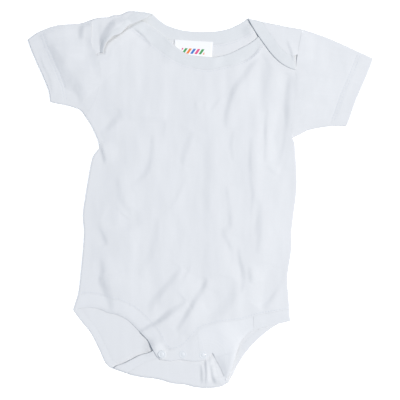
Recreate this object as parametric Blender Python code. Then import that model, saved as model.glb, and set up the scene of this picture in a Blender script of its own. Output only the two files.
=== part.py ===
"""Baby bodysuit with short sleeves, envelope shoulders and a snap crotch, lying flat and face up.

X runs towards the wearer's left sleeve, Y towards the neck and Z up. The tables are in millimetres
and the meshes in metres. The back lies on the ground. At the top its shoulder laps turn over onto
the front, and at the bottom its tail turns up under the front's snap placket. The back's pieces are
cut flat, as outlines of unfolded cloth, and then bent round the two folds.
"""

import math

import bmesh
import bpy
import numpy as np
from mathutils import Matrix, Vector
from mathutils.geometry import delaunay_2d_cdt

METRES = 0.001

# Cloth and layers
CLOTH = 1.3
SEAM_GAP = 0.3
ARMHOLE_GAP = 0.4
TURN_INSIDE = 0.95
TURN_OUTSIDE = TURN_INSIDE + CLOTH
TURN_LENGTH = math.pi * (TURN_INSIDE + CLOTH / 2)
TURN_STEPS = 4
FRONT_LEVEL = CLOTH + SEAM_GAP
TURNED_LEVEL = CLOTH + 2 * TURN_INSIDE
PLACKET_LEVEL = TURNED_LEVEL + CLOTH + SEAM_GAP

# How the upper layer stands off the lower one
PUFF = 3.0
PUFF_REACH = 26.0
FOLD_END_FULLNESS = 0.45
LAP_LEFT_LIFT = 0.9
LAP_RIGHT_LIFT = 2.3
LIFT_REACH = 9.0
LAP_MARGIN = 3.0
LAP_RUN_OUT = 12.0
TAIL_MARGIN = 2.0
TAIL_RUN_OUT = 14.0
TAIL_PUFF_SHARE = 0.5
BUNCH_LIFT = 1.6
BUNCH_CENTRE = (9.0, -190.0)
BUNCH_RADIUS = 17.0
DEEPEST_GATHER = -0.27
SLEEVE_LIFT_AT_LAP = 1.3
SLEEVE_LIFT_REACH = 16.0
SLEEVE_EDGE_REACH = 12.0

# Pieces
NECKBAND_WIDTH = 14.5
LAP_TIP_BAND_WIDTH = 4.0
LAP_TIP_STARTS = 0.72
LEG_BINDING_WIDTH = 8.0
LABEL_SIZE = (42.0, 19.0)
LABEL_THICKNESS = 1.0
LABEL_CENTRE = (-8.0, 165.0)
LABEL_TURN = math.radians(-3.5)
LABEL_MARGIN = 2.0
LABEL_RUN_OUT = 12.0
SNAP_RADIUS = 4.4
SNAP_HEIGHT = 1.4
SNAP_BEVEL = 0.5
SNAP_SIDES = 20
SNAP_PLACES = [(-42.4, -169.4), (-19.5, -169.6), (2.5, -170.2)]

# Mesh. The shares are of a lattice's step, and a row share of 0.87 makes its triangles equal-sided.
CURVE_STEP = 6.5
FOLD_STEP = 4.0
ARMHOLE_STEP = 3.5
FRONT_LATTICE_STEP = 8.6
BACK_LATTICE_STEP = 11.0
BAND_LATTICE_STEP = 7.5
GATHER_LATTICE_STEP = 2.4
PANEL_COLUMN_STEP = 8.0
BAND_COLUMN_STEP = 4.0
LATTICE_ROW_SHARE = 0.87
CLEAR_OF_OUTLINE_SHARE = 0.5
FIRST_CLEAR_OF_OUTLINE = 1.6
CLEAR_OF_FOLD_POINTS = 4.5
FOLD_SIDE_ROWS = 1.5
FOLD_POINTS_APART = 3.0
FINE_POINTS_APART = 1.0
SAME_POINT = 0.5
TURN_MARGIN = 1.0
SLEEVE_STATIONS = 11
SLEEVE_ACROSS = 16
SLEEVE_TURN_STEPS = 4
SHARP_ANGLE = math.radians(50)

JERSEY = (0.80, 0.83, 0.88, 1.0)
RIB = (0.78, 0.81, 0.86, 1.0)
SATIN = (0.90, 0.91, 0.92, 1.0)
PEARL = (0.84, 0.87, 0.88, 1.0)

# Seams and edges, as points (x, y). The right of each name is the wearer's right, at -X.
SLEEVE_RIGHT_TOP = [(-118.8, 198), (-132, 193.6), (-157.3, 191.4), (-178, 184), (-189.2, 176)]
SLEEVE_RIGHT_HEM = [(-189.2, 176), (-184, 162), (-172.7, 136.4), (-165.8, 119), (-163.9, 106.7)]
SLEEVE_RIGHT_UNDER = [(-126.5, 91.3), (-132, 98), (-145, 102.6), (-157, 105), (-163.9, 106.7)]
ARMHOLE_RIGHT = [
    (-118.8, 198), (-119.9, 181.5), (-118.8, 168.3), (-113.3, 156.2),
    (-110, 140.8), (-111.1, 123.2), (-117.7, 105.6), (-126.5, 91.3),
]
SLEEVE_LEFT_TOP = [(112.2, 187), (132, 180.4), (148.5, 173.8), (176, 161.2), (189.2, 155.1)]
SLEEVE_LEFT_HEM = [(189.2, 155.1), (181.5, 135.3), (170.5, 110), (162, 86), (159.5, 80.3)]
SLEEVE_LEFT_UNDER = [(101.2, 67.1), (111, 72), (119, 76), (143, 80.2), (159.5, 80.3)]
ARMHOLE_LEFT = [
    (112.2, 187), (107.8, 168.3), (104.5, 143), (105.6, 126.5),
    (103.2, 108), (102, 90), (99.8, 77), (101.2, 67.1),
]
SIDE_RIGHT = [
    (-126.5, 91.3), (-118.8, 79.2), (-111.1, 58), (-117.7, 47.3), (-123, 22), (-126.5, 0),
    (-128.7, -16.5), (-127.6, -38.5), (-130.9, -77), (-134.2, -104.5), (-139.7, -122),
]
SIDE_LEFT = [
    (99, -133), (96.8, -106.7), (95.7, -84), (100.1, -52.8), (100.1, -35),
    (105.6, 11), (105.6, 27.5), (103.4, 60.5), (101.2, 67.1),
]
SHOULDER_RIGHT = [
    (-118.8, 198), (-112, 199.7), (-101, 200.4), (-96, 202.4), (-88, 203.2),
    (-79.2, 206.8), (-70, 206.8), (-60.5, 205.7), (-52.8, 204.1),
]
SHOULDER_LEFT = [(51.7, 199.1), (71.5, 194.7), (99, 189.2), (112.2, 187)]
NECK_BACK_EDGE = [
    (48.4, 196.4), (41.8, 192.5), (30.8, 187.6), (16.5, 184.8), (0, 184.3),
    (-16.5, 185.4), (-27.5, 188.1), (-38.5, 192.5), (-48, 199.6),
]
LAP_LEFT_EDGE = [(104.4, 142), (99, 143.4), (88, 149.6), (77, 160.6), (69.3, 171.2), (61, 183), (55, 193)]
LAP_RIGHT_EDGE = [
    (-57.5, 200.5), (-62, 197.8), (-71.5, 193.4), (-82.5, 187), (-93.5, 179.3),
    (-102, 172.5), (-105.4, 166), (-106.2, 160.6),
]
LAP_RIGHT_END = [(-110.6, 160.6), (-114.2, 158.9)]
# Where the sides of the laps, which are sewn into the armholes, end and begin: lowest and highest y
LAP_LEFT_SIDE = (157.5, 182)
LAP_RIGHT_SIDE = (159, 193)
# The front's edges under the laps, short of the fold above them
SHOULDER_LEFT_UNDER = [(109.5, 181.8), (95, 185), (80.5, 186.5)]
SHOULDER_RIGHT_UNDER = [(-86, 197.5), (-100, 195), (-118.5, 191.6)]
NECK_FRONT_EDGE = [
    (-70, 199), (-57.2, 192.5), (-47, 184.8), (-38.5, 178), (-22, 163.9), (-11, 158.6), (5.5, 156.6),
    (16.5, 156.2), (33, 160.6), (44, 166), (55, 172), (62.7, 178.2), (69, 187.5),
]
NECK_FRONT_SEAM = [
    (-84, 196.5), (-76, 189.2), (-66, 181), (-44, 162.8), (-27.5, 151.8), (-15, 147), (0, 143),
    (11, 142.5), (24, 145.2), (44, 150.7), (56, 157.3), (68.2, 170.5), (79, 184),
]
LEG_RIGHT_FRONT_EDGE = [
    (-139.6, -121.3), (-126.5, -118.8), (-112, -120), (-102, -124.3), (-91, -126.7), (-79, -133.2),
    (-68, -144), (-58, -154.3), (-52.5, -164.2), (-47.5, -172.4), (-44, -175.5),
]
LEG_RIGHT_FRONT_SEAM = [
    (-134.3, -105.2), (-126, -103.4), (-112, -104.6), (-98, -109), (-85, -112.5), (-70, -121),
    (-56, -134.5), (-46, -146), (-40.5, -157), (-34.1, -165),
]
PLACKET_SEAM = [
    (-34.1, -165), (-24, -163), (-15, -157), (-8, -149), (0, -141.2), (11, -137.3),
    (22, -134.4), (44, -132), (66, -126), (80, -123.8), (97.3, -120.2),
]
PLACKET_EDGE = [(-44, -175.5), (-33, -177.1), (-22, -175.7), (-11, -177.1), (0, -177.1), (6.6, -175.5)]
PLACKET_CORNER = [(13.2, -168.3), (17, -176), (22, -184.8), (25.5, -193), (27.5, -198.6)]
LEG_LEFT_FRONT_EDGE = [
    (30.4, -193.5), (35, -182.6), (37.6, -173), (42.9, -158.4), (48.4, -150.7),
    (56, -144.7), (68.2, -140.8), (82.5, -137.5), (98.8, -133.6),
]
PLACKET_SPLIT = 58.0
LEG_RIGHT_BACK_EDGE = [
    (-139.7, -122.1), (-129, -136), (-120.5, -146.5), (-110, -167.2), (-104.5, -179.3), (-100, -184.2),
]
LEG_LEFT_BACK_EDGE = [
    (33.4, -196.5), (36.3, -191.4), (41, -181.6), (51, -166.6), (66, -151), (83.6, -138), (99, -133.1),
]
TAIL_RIGHT_EDGE = [(-92, -182.4), (-85, -180), (-77, -176), (-66, -170.5), (-54, -166.6), (-44, -160)]
TAIL_TOP = [(-40, -157), (-20, -156), (0, -156), (16, -157)]
TAIL_LEFT_EDGE = [(18, -160), (21, -168), (25.5, -181), (29, -192)]
BOTTOM_FOLD = [
    (-99, -184.8), (-92.4, -187), (-77, -192.5), (-63.8, -195.3), (-46.2, -197.5), (-30.8, -201.9),
    (-16.5, -203.5), (-3, -206.6), (14, -206.8), (24, -205), (31.9, -200.2),
]

# Folds of the front and sleeves: name, half width, height (below 0 for a trough), points (x, y).
FOLDS = [
    ("sleeve right roll", 6, -2.6, [(-173, 176), (-163, 162), (-147, 137), (-132, 121)]),
    ("sleeve right ridge", 5, 1.0, [(-165, 143), (-147, 123)]),
    ("sleeve right top", 5, -1.8, [(-133, 193), (-133, 178)]),
    ("shoulder right", 5, -1.6, [(-120, 196), (-120, 165), (-114, 156), (-112, 141)]),
    ("underarm right", 4, -1.8, [(-110, 75), (-97, 83), (-88, 92)]),
    ("chest right", 5, -0.8, [(-90, 90), (-38, 86)]),
    ("side notch", 3.5, -2.6, [(-112, 58), (-106, 43)]),
    ("waist right hook", 4, -2.0, [(-52, 68), (-55, 40), (-66, 22), (-75, 15)]),
    ("waist right dart", 4, -1.5, [(-95, 6), (-86, -3), (-77, -14)]),
    ("belly right hollow", 6, -1.0, [(-110, -24), (-90, -33), (-72, -28)]),
    ("belly right nick", 3.5, -1.5, [(-109, -35), (-103, -46)]),
    ("waist centre slant", 3.5, -1.2, [(-20, 17), (-27, 0), (-33, -8)]),
    ("belly right slant", 5, -0.9, [(-47, -24), (-50, -44), (-66, -82)]),
    ("waist centre", 6, -0.9, [(10, 66), (10, -11)]),
    ("chest centre", 4, -1.0, [(-11, 66), (-19, 44)]),
    ("chest centre nick", 3.5, -1.0, [(21, 112), (13, 97)]),
    ("chest left nick", 3.5, -1.5, [(35, 72), (34, 49)]),
    ("chest left slant", 5, -2.5, [(62, 152), (49, 137), (33, 113), (26, 82)]),
    ("chest left broad", 6, -1.6, [(75, 159), (73, 132), (68, 99)]),
    ("waist left long", 3.5, -2.2, [(55, 66), (55, 22), (57, 5), (55, -13)]),
    ("chest left long", 4, -2.4, [(73, 94), (71, 70), (71, 44)]),
    ("chest left hook", 3.5, -1.6, [(71, 38), (77, 31), (84, 28), (88, 44)]),
    ("armhole left", 5, -2.6, [(97, 141), (95, 110), (91, 72), (86, 38)]),
    ("belly left inner", 4, -2.3, [(30, 11), (34, -27), (28, -36), (36, -55)]),
    ("belly left outer", 4, -2.3, [(64, -5), (67, -35), (64, -55)]),
    ("hip left inner", 4, -2.3, [(44, -55), (44, -68), (48, -82), (46, -99)]),
    ("hip left nick", 3.5, -1.6, [(53, -79), (55, -88)]),
    ("belly centre broad", 7, -1.3, [(8, -50), (7, -77), (4, -93)]),
    ("crotch crease", 4, -3.0, [(3, -91), (0, -102), (-12, -121), (-25, -140)]),
    ("leg right broad", 6, -2.4, [(-24, -77), (-44, -104), (-53, -116), (-55, -127)]),
    ("leg right crease", 4, -3.0, [(-26, -119), (-35, -125), (-50, -136), (-68, -144)]),
    ("hip centre nick", 3.5, -1.2, [(-14, -77), (-17, -86)]),
    ("hip right valley", 4, -2.0, [(-108, -68), (-107, -79), (-112, -90)]),
    ("leg right valley", 6, -3.0, [(-105, -88), (-102, -110), (-101, -123)]),
    ("hip left outer", 5, -1.6, [(88, -79), (84, -93), (77, -108), (69, -119)]),
    ("hip left broad", 6, -1.3, [(35, -93), (33, -110), (16, -126)]),
    ("placket hollow", 5, -0.7, [(-18, -149), (-8, -151)]),
]
LAP_FOLDS = [
    ("lap right valley", 3.5, -2.2, [(-96, 193), (-105, 181), (-109, 170), (-110, 160)]),
    ("lap right crease", 3, -1.2, [(-89, 198), (-84, 201), (-76, 205)]),
    ("lap left crease", 3, -0.8, [(96, 170), (102, 157)]),
]
TAIL_GATHERS = [
    ("first gather", 1.6, -1.0, [(-1.7, -192), (-1.7, -202)]),
    ("second gather", 2.0, -1.7, [(2.4, -184), (2.2, -203)]),
    ("third gather", 2.0, -2.0, [(6.8, -178.5), (6.6, -197)]),
    ("fourth gather", 1.6, -1.3, [(11, -178.5), (11, -187)]),
    ("fifth gather", 2.0, -1.5, [(12.5, -187), (13.4, -198)]),
    ("corner hollow", 3.0, -2.0, [(15, -200), (21, -203), (25, -201)]),
]


def ease(share):
    """From 0 to 1, level at both ends."""
    share = np.clip(share, 0, 1)
    return share * share * (3 - 2 * share)


def curve_through(points, step=CURVE_STEP):
    """Points about a step apart on a smooth curve through the given ones."""
    knots = np.array(points, float)
    lengths = np.linalg.norm(np.diff(knots, axis=0), axis=1)
    tangents = np.empty_like(knots)
    tangents[0] = (knots[1] - knots[0]) / lengths[0]
    tangents[-1] = (knots[-1] - knots[-2]) / lengths[-1]
    tangents[1:-1] = (knots[2:] - knots[:-2]) / (lengths[1:] + lengths[:-1])[:, None]
    stretches = []
    for i, length in enumerate(lengths):
        count = max(1, round(length / step))
        t = (np.arange(count) / count)[:, None]
        stretches.append(
            knots[i] * (2 * t**3 - 3 * t**2 + 1)
            + knots[i + 1] * (3 * t**2 - 2 * t**3)
            + tangents[i] * length * (t**3 - 2 * t**2 + t)
            + tangents[i + 1] * length * (t**3 - t**2)
        )
    return np.vstack(stretches + [knots[-1:]])


def beside(line, distance):
    """The line moved to its left by a distance, which may differ from point to point."""
    along = np.gradient(line, axis=0)
    along /= np.linalg.norm(along, axis=1)[:, None]
    left = np.column_stack([-along[:, 1], along[:, 0]])
    return line + left * np.reshape(distance, (-1, 1))


def loop(*lines):
    """One closed outline from lines that follow each other, without doubled points."""
    points = np.vstack(lines)
    apart = np.linalg.norm(points - np.roll(points, 1, axis=0), axis=1)
    return points[apart > SAME_POINT]


def distance_and_share(places, line):
    """How far each place is from a line, and how far along the line its nearest point is."""
    start, step = line[:-1], np.diff(line, axis=0)
    lengths = np.linalg.norm(step, axis=1)
    offset = places[:, None, :] - start[None]
    t = np.clip((offset * step).sum(axis=2) / lengths**2, 0, 1)
    apart = np.linalg.norm(offset - t[:, :, None] * step, axis=2)
    nearest = apart.argmin(axis=1)
    rows = np.arange(len(places))
    before = np.concatenate([[0], np.cumsum(lengths)])[nearest]
    share = (before + t[rows, nearest] * lengths[nearest]) / lengths.sum()
    return apart[rows, nearest], share


def is_inside(places, outline):
    """Whether each place lies in a closed outline."""
    x, y = places[:, 0, None], places[:, 1, None]
    x0, y0 = outline[:, 0], outline[:, 1]
    x1, y1 = np.roll(x0, -1), np.roll(y0, -1)
    rises = np.where(y1 == y0, 1e-9, y1 - y0)
    crosses = ((y0 > y) != (y1 > y)) & (x < (x1 - x0) * (y - y0) / rises + x0)
    return crosses.sum(axis=1) % 2 == 1


def cover(places, outline, margin, run_out):
    """1 on an area and its margin, easing to 0 over the run-out beyond."""
    closed = np.vstack([outline, outline[:1]])
    apart = distance_and_share(places, closed)[0]
    apart[is_inside(places, outline)] = 0
    return 1 - ease((apart - margin) / run_out)


def fold_heights(places, folds):
    """The sum of soft troughs and ridges, each shallower and narrower towards its ends."""
    height = np.zeros(len(places))
    for _, half_width, depth, points in folds:
        apart, share = distance_and_share(places, curve_through(points, FOLD_STEP))
        fullness = FOLD_END_FULLNESS + (1 - FOLD_END_FULLNESS) * np.sin(math.pi * share)
        height += depth * fullness * np.exp(-((apart / (half_width * fullness)) ** 2))
    return height


# The two folds of the back, as lines y(x) on which its turns begin
TOP_OUTLINE = np.vstack([curve_through(SHOULDER_RIGHT), curve_through(SHOULDER_LEFT)])
BOTTOM_OUTLINE = curve_through(BOTTOM_FOLD)


def top_turn(x):
    return np.interp(x, TOP_OUTLINE[:, 0], TOP_OUTLINE[:, 1]) - TURN_OUTSIDE


def bottom_turn(x):
    return np.interp(x, BOTTOM_OUTLINE[:, 0], BOTTOM_OUTLINE[:, 1]) + TURN_OUTSIDE


def unfolded_lap(points):
    """Where points of a lap that lies turned over are on the flat cloth, above the top fold."""
    x, y = np.array(points, float).T
    return np.column_stack([x, 2 * top_turn(x) + TURN_LENGTH - y])


def unfolded_tail(points):
    x, y = np.array(points, float).T
    return np.column_stack([x, 2 * bottom_turn(x) - TURN_LENGTH - y])


def past_fold(places):
    """How far each place of flat cloth is past the top or bottom fold, and which it is: 1 or -1."""
    x, y = places.T
    past_top, past_bottom = y - top_turn(x), bottom_turn(x) - y
    return np.maximum(past_top, past_bottom), np.where(past_top > past_bottom, 1, -1)


def corner_at(x, turn, side):
    """The point of flat cloth that lies on the very edge of a turn."""
    return [(x, turn(x) + side * TURN_LENGTH / 2)]


NECK_EDGE_FLAT = curve_through(
    np.vstack([
        unfolded_lap(LAP_LEFT_EDGE),
        corner_at(51.7, top_turn, 1),
        NECK_BACK_EDGE,
        corner_at(-52.8, top_turn, 1),
        unfolded_lap(LAP_RIGHT_EDGE),
    ])
)
LEG_RIGHT_EDGE_FLAT = curve_through(
    np.vstack([
        LEG_RIGHT_BACK_EDGE,
        corner_at(-97.2, bottom_turn, -1),
        unfolded_tail(TAIL_RIGHT_EDGE),
    ])
)
LEG_LEFT_EDGE_FLAT = curve_through(
    np.vstack([
        unfolded_tail(TAIL_LEFT_EDGE),
        corner_at(31.4, bottom_turn, -1),
        LEG_LEFT_BACK_EDGE,
    ])
)
LAP_LEFT_AREA = loop(curve_through(LAP_LEFT_EDGE), curve_through(SHOULDER_LEFT), ARMHOLE_LEFT[1:2])
LAP_RIGHT_AREA = loop(
    curve_through(LAP_RIGHT_EDGE), LAP_RIGHT_END, ARMHOLE_RIGHT[2:0:-1], curve_through(SHOULDER_RIGHT)
)
TAIL_AREA = loop(
    curve_through(BOTTOM_FOLD), curve_through(TAIL_LEFT_EDGE)[::-1], TAIL_TOP[::-1],
    curve_through(TAIL_RIGHT_EDGE)[::-1],
)
RESTING_EDGES = [
    curve_through(line)
    for line in (
        SLEEVE_RIGHT_TOP, SLEEVE_RIGHT_HEM, SLEEVE_RIGHT_UNDER, SIDE_RIGHT, LEG_RIGHT_FRONT_EDGE,
        SLEEVE_LEFT_TOP, SLEEVE_LEFT_HEM, SLEEVE_LEFT_UNDER, SIDE_LEFT, LEG_LEFT_FRONT_EDGE,
        PLACKET_EDGE, PLACKET_CORNER, NECK_FRONT_EDGE, SHOULDER_LEFT, SHOULDER_RIGHT,
    )
]


def label_outline():
    half = np.array(LABEL_SIZE) / 2
    corners = half * np.array([(-1, -1), (1, -1), (1, 1), (-1, 1)])
    turn = np.array([
        (math.cos(LABEL_TURN), math.sin(LABEL_TURN)),
        (-math.sin(LABEL_TURN), math.cos(LABEL_TURN)),
    ])
    return corners @ turn + LABEL_CENTRE


def upper_rise(places):
    """How far the upper layer stands above where it would lie pressed flat."""
    apart = np.min([distance_and_share(places, edge)[0] for edge in RESTING_EDGES], axis=0)
    return np.maximum(PUFF * ease(apart / PUFF_REACH) + fold_heights(places, FOLDS), 0)


def bunch_rise(places):
    apart = np.linalg.norm(places - BUNCH_CENTRE, axis=1)
    return BUNCH_LIFT * (1 - ease(apart / BUNCH_RADIUS))


def turned_rise(places):
    """How far the laps and the tail stand above the level that their turn gives them."""
    lift = np.where(places[:, 0] > 0, LAP_LEFT_LIFT, LAP_RIGHT_LIFT)
    lap = np.maximum(lift + fold_heights(places, LAP_FOLDS), 0)
    tail = np.maximum(bunch_rise(places) + fold_heights(places, TAIL_GATHERS), DEEPEST_GATHER)
    return np.where(places[:, 1] > 0, lap, tail)


def front_under(places):
    """The height of the front's underside, over the label and the tail and under the laps."""
    under_laps = np.maximum(
        cover(places, LAP_LEFT_AREA, LAP_MARGIN, LAP_RUN_OUT),
        cover(places, LAP_RIGHT_AREA, LAP_MARGIN, LAP_RUN_OUT),
    )
    on_tail = cover(places, TAIL_AREA, TAIL_MARGIN, TAIL_RUN_OUT)
    on_label = cover(places, label_outline(), LABEL_MARGIN, LABEL_RUN_OUT)
    room = (PLACKET_LEVEL - FRONT_LEVEL) * on_tail + bunch_rise(places) * on_tail
    room += (LABEL_THICKNESS + SEAM_GAP) * on_label
    puff_share = (1 - under_laps) * (1 - (1 - TAIL_PUFF_SHARE) * on_tail)
    return FRONT_LEVEL + room + upper_rise(places) * puff_share


def place_front(places, up):
    return np.column_stack([places, front_under(places) + up])


def place_on_back(places, up):
    """Flat cloth bent round the folds of the back. Up is the height in the wall from its outside."""
    past, side = past_fold(places)
    x = places[:, 0]
    turn = np.where(side > 0, top_turn(x), bottom_turn(x))
    centre = CLOTH + TURN_INSIDE
    angle = np.clip(past / TURN_LENGTH, 0, 1) * math.pi
    beyond = np.maximum(past - TURN_LENGTH, 0)
    radius = centre - up
    y = np.where(past <= 0, places[:, 1], turn + side * (radius * np.sin(angle) - beyond))
    z = centre - radius * np.cos(angle)
    lifted = turned_rise(np.column_stack([x, y])) * ease(beyond / LIFT_REACH)
    return np.column_stack([x, y, z + lifted])


def turn_rows(step):
    """Rows of points across both folds, in columns a step apart, so that a turn is round."""
    columns = np.arange(TOP_OUTLINE[0, 0], TOP_OUTLINE[-1, 0], step)
    rows = []
    for k in range(TURN_STEPS + 1):
        past = TURN_LENGTH * k / TURN_STEPS
        rows.append(np.column_stack([columns, top_turn(columns) + past]))
        rows.append(np.column_stack([columns, bottom_turn(columns) - past]))
    return np.vstack(rows)


def with_turn_points(outline):
    """The outline with more points where it crosses a fold."""
    points = []
    for here, there in zip(outline, np.roll(outline, -1, axis=0)):
        ends = np.array([here, (here + there) / 2, there])
        past = past_fold(ends)[0]
        near = (past > -TURN_MARGIN) & (past < TURN_LENGTH + TURN_MARGIN)
        steps = 1
        if near.any():
            steps = math.ceil(np.linalg.norm(there - here) * TURN_STEPS / TURN_LENGTH)
        for k in range(steps):
            points.append(here + (there - here) * k / steps)
    return np.array(points)


def lattice(outline, step):
    """Points of a triangular lattice over the outline's box."""
    (x0, y0), (x1, y1) = outline.min(axis=0), outline.max(axis=0)
    row_step = step * LATTICE_ROW_SHARE
    points = []
    for row in range(math.ceil((y1 - y0) / row_step) + 1):
        start = x0 + (row % 2) * step / 2
        for column in range(math.ceil((x1 - x0) / step) + 1):
            points.append((start + column * step, y0 + row * row_step))
    return np.array(points)


def fold_points(folds):
    """Points along each fold and to both sides of it, so that the mesh follows the fold."""
    points = []
    for _, half_width, _, line in folds:
        middle = curve_through(line)
        aside = FOLD_SIDE_ROWS * half_width
        points += [middle, beside(middle, aside), beside(middle, -aside)]
    return thinned(np.vstack(points), FOLD_POINTS_APART)


def gather_points():
    """A fine lattice over the tail's gathers, on the flat cloth."""
    lines = np.vstack([line for _, _, _, line in TAIL_GATHERS])
    return unfolded_tail(lattice(lines, GATHER_LATTICE_STEP))


def thinned(points, apart):
    """The points without those that come too close to an earlier one."""
    kept = points[:1]
    for point in points[1:]:
        if np.linalg.norm(kept - point, axis=1).min() > apart:
            kept = np.vstack([kept, point])
    return kept


def inner_points(outline, step, first):
    """Points for the inside of an outline: the first ones where they fit, then a lattice."""
    edge = np.vstack([outline, outline[:1]])

    def fitting(points, clear):
        points = points[is_inside(points, outline)]
        return points[distance_and_share(points, edge)[0] > clear]

    grid = fitting(lattice(outline, step), CLEAR_OF_OUTLINE_SHARE * step)
    if len(first):
        first = fitting(first, FIRST_CLEAR_OF_OUTLINE)
    if not len(first):
        return grid
    if not len(grid):
        return first
    away = np.linalg.norm(grid[:, None] - first[None], axis=2).min(axis=1)
    return np.vstack([first, grid[away > CLEAR_OF_FOLD_POINTS]])


def add_object(name, verts, faces, colour, roughness=0.9):
    mesh = bpy.data.meshes.new(name)
    mesh.from_pydata([Vector(v) * METRES for v in verts], [], faces)
    mesh.validate()
    mesh.shade_smooth()
    mesh.set_sharp_from_angle(angle=SHARP_ANGLE)
    material = bpy.data.materials.new(name)
    material.use_nodes = True
    shader = material.node_tree.nodes["Principled BSDF"]
    shader.inputs["Base Color"].default_value = colour
    shader.inputs["Roughness"].default_value = roughness
    mesh.materials.append(material)
    piece = bpy.data.objects.new(name, mesh)
    bpy.context.collection.objects.link(piece)
    return piece


def add_cloth(name, outline, place, colour, step, first=(), thickness=CLOTH):
    """A wall of cloth over an outline. place(points, height in the wall) puts its points in space."""
    inner = inner_points(outline, step, first)
    flat = np.vstack([outline, inner]) if len(inner) else outline
    ring = [list(range(len(outline)))]
    points, _, triangles, *_ = delaunay_2d_cdt([Vector(p) for p in flat], [], ring, 1, 1e-6)
    flat = np.array([tuple(p) for p in points])
    lower, upper = place(flat, 0.0), place(flat, thickness)
    count = len(flat)
    faces = [tuple(t) for t in triangles]
    edges = {(t[i], t[(i + 1) % 3]) for t in faces for i in range(3)}
    rim = [(a, b) for a, b in edges if (b, a) not in edges]
    top = [tuple(i + count for i in t) for t in faces]
    bottom = [t[::-1] for t in faces]
    sides = [(a, b, b + count, a + count) for a, b in sorted(rim)]
    return add_object(name, np.vstack([lower, upper]), bottom + top + sides, colour)


def coons_point(u, v, armhole, hem, top, under):
    """A point of a four-sided patch: u from armhole to hem, v from the top edge to the under one."""

    def at(line, share):
        lengths = np.concatenate([[0], np.cumsum(np.linalg.norm(np.diff(line, axis=0), axis=1))])
        where = share * lengths[-1]
        return np.array([np.interp(where, lengths, line[:, k]) for k in (0, 1)])

    at_armhole = (1 - v) * armhole[0] + v * armhole[-1]
    at_hem = (1 - v) * hem[0] + v * hem[-1]
    corners = (1 - u) * at_armhole + u * at_hem
    sides = (1 - u) * at(armhole, v) + u * at(hem, v) + (1 - v) * at(top, u) + v * at(under, u)
    return sides - corners


def sleeve_ring(u, sides, inward):
    """One ring of a flattened tube: round its top edge, down its upper layer, and back below."""
    ends = [coons_point(u, v, *sides) for v in (0, 1)]
    width = np.linalg.norm(ends[1] - ends[0])
    level = (FRONT_LEVEL + CLOTH) / 2
    radius = level - inward
    turn = [math.pi * (k / SLEEVE_TURN_STEPS - 0.5) for k in range(SLEEVE_TURN_STEPS + 1)]
    shares = [k / SLEEVE_ACROSS for k in range(1, SLEEVE_ACROSS)]
    ring = [(level - radius * math.cos(a), level + radius * math.sin(a), a > 0) for a in turn]
    ring += [(level + (width - 2 * level) * s, level + radius, True) for s in shares]
    for a in turn[::-1]:
        ring.append((width - level + radius * math.cos(a), level + radius * math.sin(a), a > 0))
    ring += [(level + (width - 2 * level) * s, level - radius, False) for s in shares[::-1]]
    across, heights, raised = np.array(ring).T
    across /= width
    places = np.array([coons_point(u, v, *sides) for v in across])
    beside_lap = np.maximum(
        cover(places, LAP_LEFT_AREA, 0, SLEEVE_LIFT_REACH), cover(places, LAP_RIGHT_AREA, 0, SLEEVE_LIFT_REACH)
    )
    clear_of_edge = ease(np.minimum(across, 1 - across) * width / SLEEVE_EDGE_REACH)
    rise = (upper_rise(places) + SLEEVE_LIFT_AT_LAP * beside_lap) * clear_of_edge
    return np.column_stack([places, heights + raised * rise])


def add_sleeve(name, armhole, hem, top, under):
    """A flattened open tube from the armhole seam to the hem."""
    sides = [curve_through(line, ARMHOLE_STEP) for line in (armhole, hem, top, under)]
    outward = 1 if sides[1][0, 0] > 0 else -1
    sides[0] = beside(sides[0], outward * ARMHOLE_GAP)
    sides[2][0], sides[3][0] = sides[0][0], sides[0][-1]
    rings = []
    for inward in (0, CLOTH):
        rings += [sleeve_ring(k / SLEEVE_STATIONS, sides, inward) for k in range(SLEEVE_STATIONS + 1)]
    count = len(rings[0])
    faces = []

    def bridge(first, second):
        here, there = first * count, second * count
        for k in range(count):
            after = (k + 1) % count
            faces.append((here + k, here + after, there + after, there + k))

    stations = SLEEVE_STATIONS + 1
    for k in range(SLEEVE_STATIONS):
        bridge(k, k + 1)
        bridge(stations + k + 1, stations + k)
    bridge(stations, 0)
    bridge(SLEEVE_STATIONS, stations + SLEEVE_STATIONS)
    if outward < 0:
        faces = [face[::-1] for face in faces]
    return add_object(name, np.vstack(rings), faces, JERSEY)


def parted_at(line, x):
    """The two parts of a line whose x rises, with the seam gap between them at x."""
    parts = []
    for side in (-1, 1):
        end = x + side * SEAM_GAP / 2
        cut = [(end, np.interp(end, line[:, 0], line[:, 1]))]
        rest = line[side * (line[:, 0] - end) > 0]
        parts.append(np.vstack([rest, cut] if side < 0 else [cut, rest]))
    return parts


def between(line, lowest, highest):
    """The points of a line whose y is between two heights."""
    return line[(line[:, 1] > lowest) & (line[:, 1] < highest)]


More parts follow.
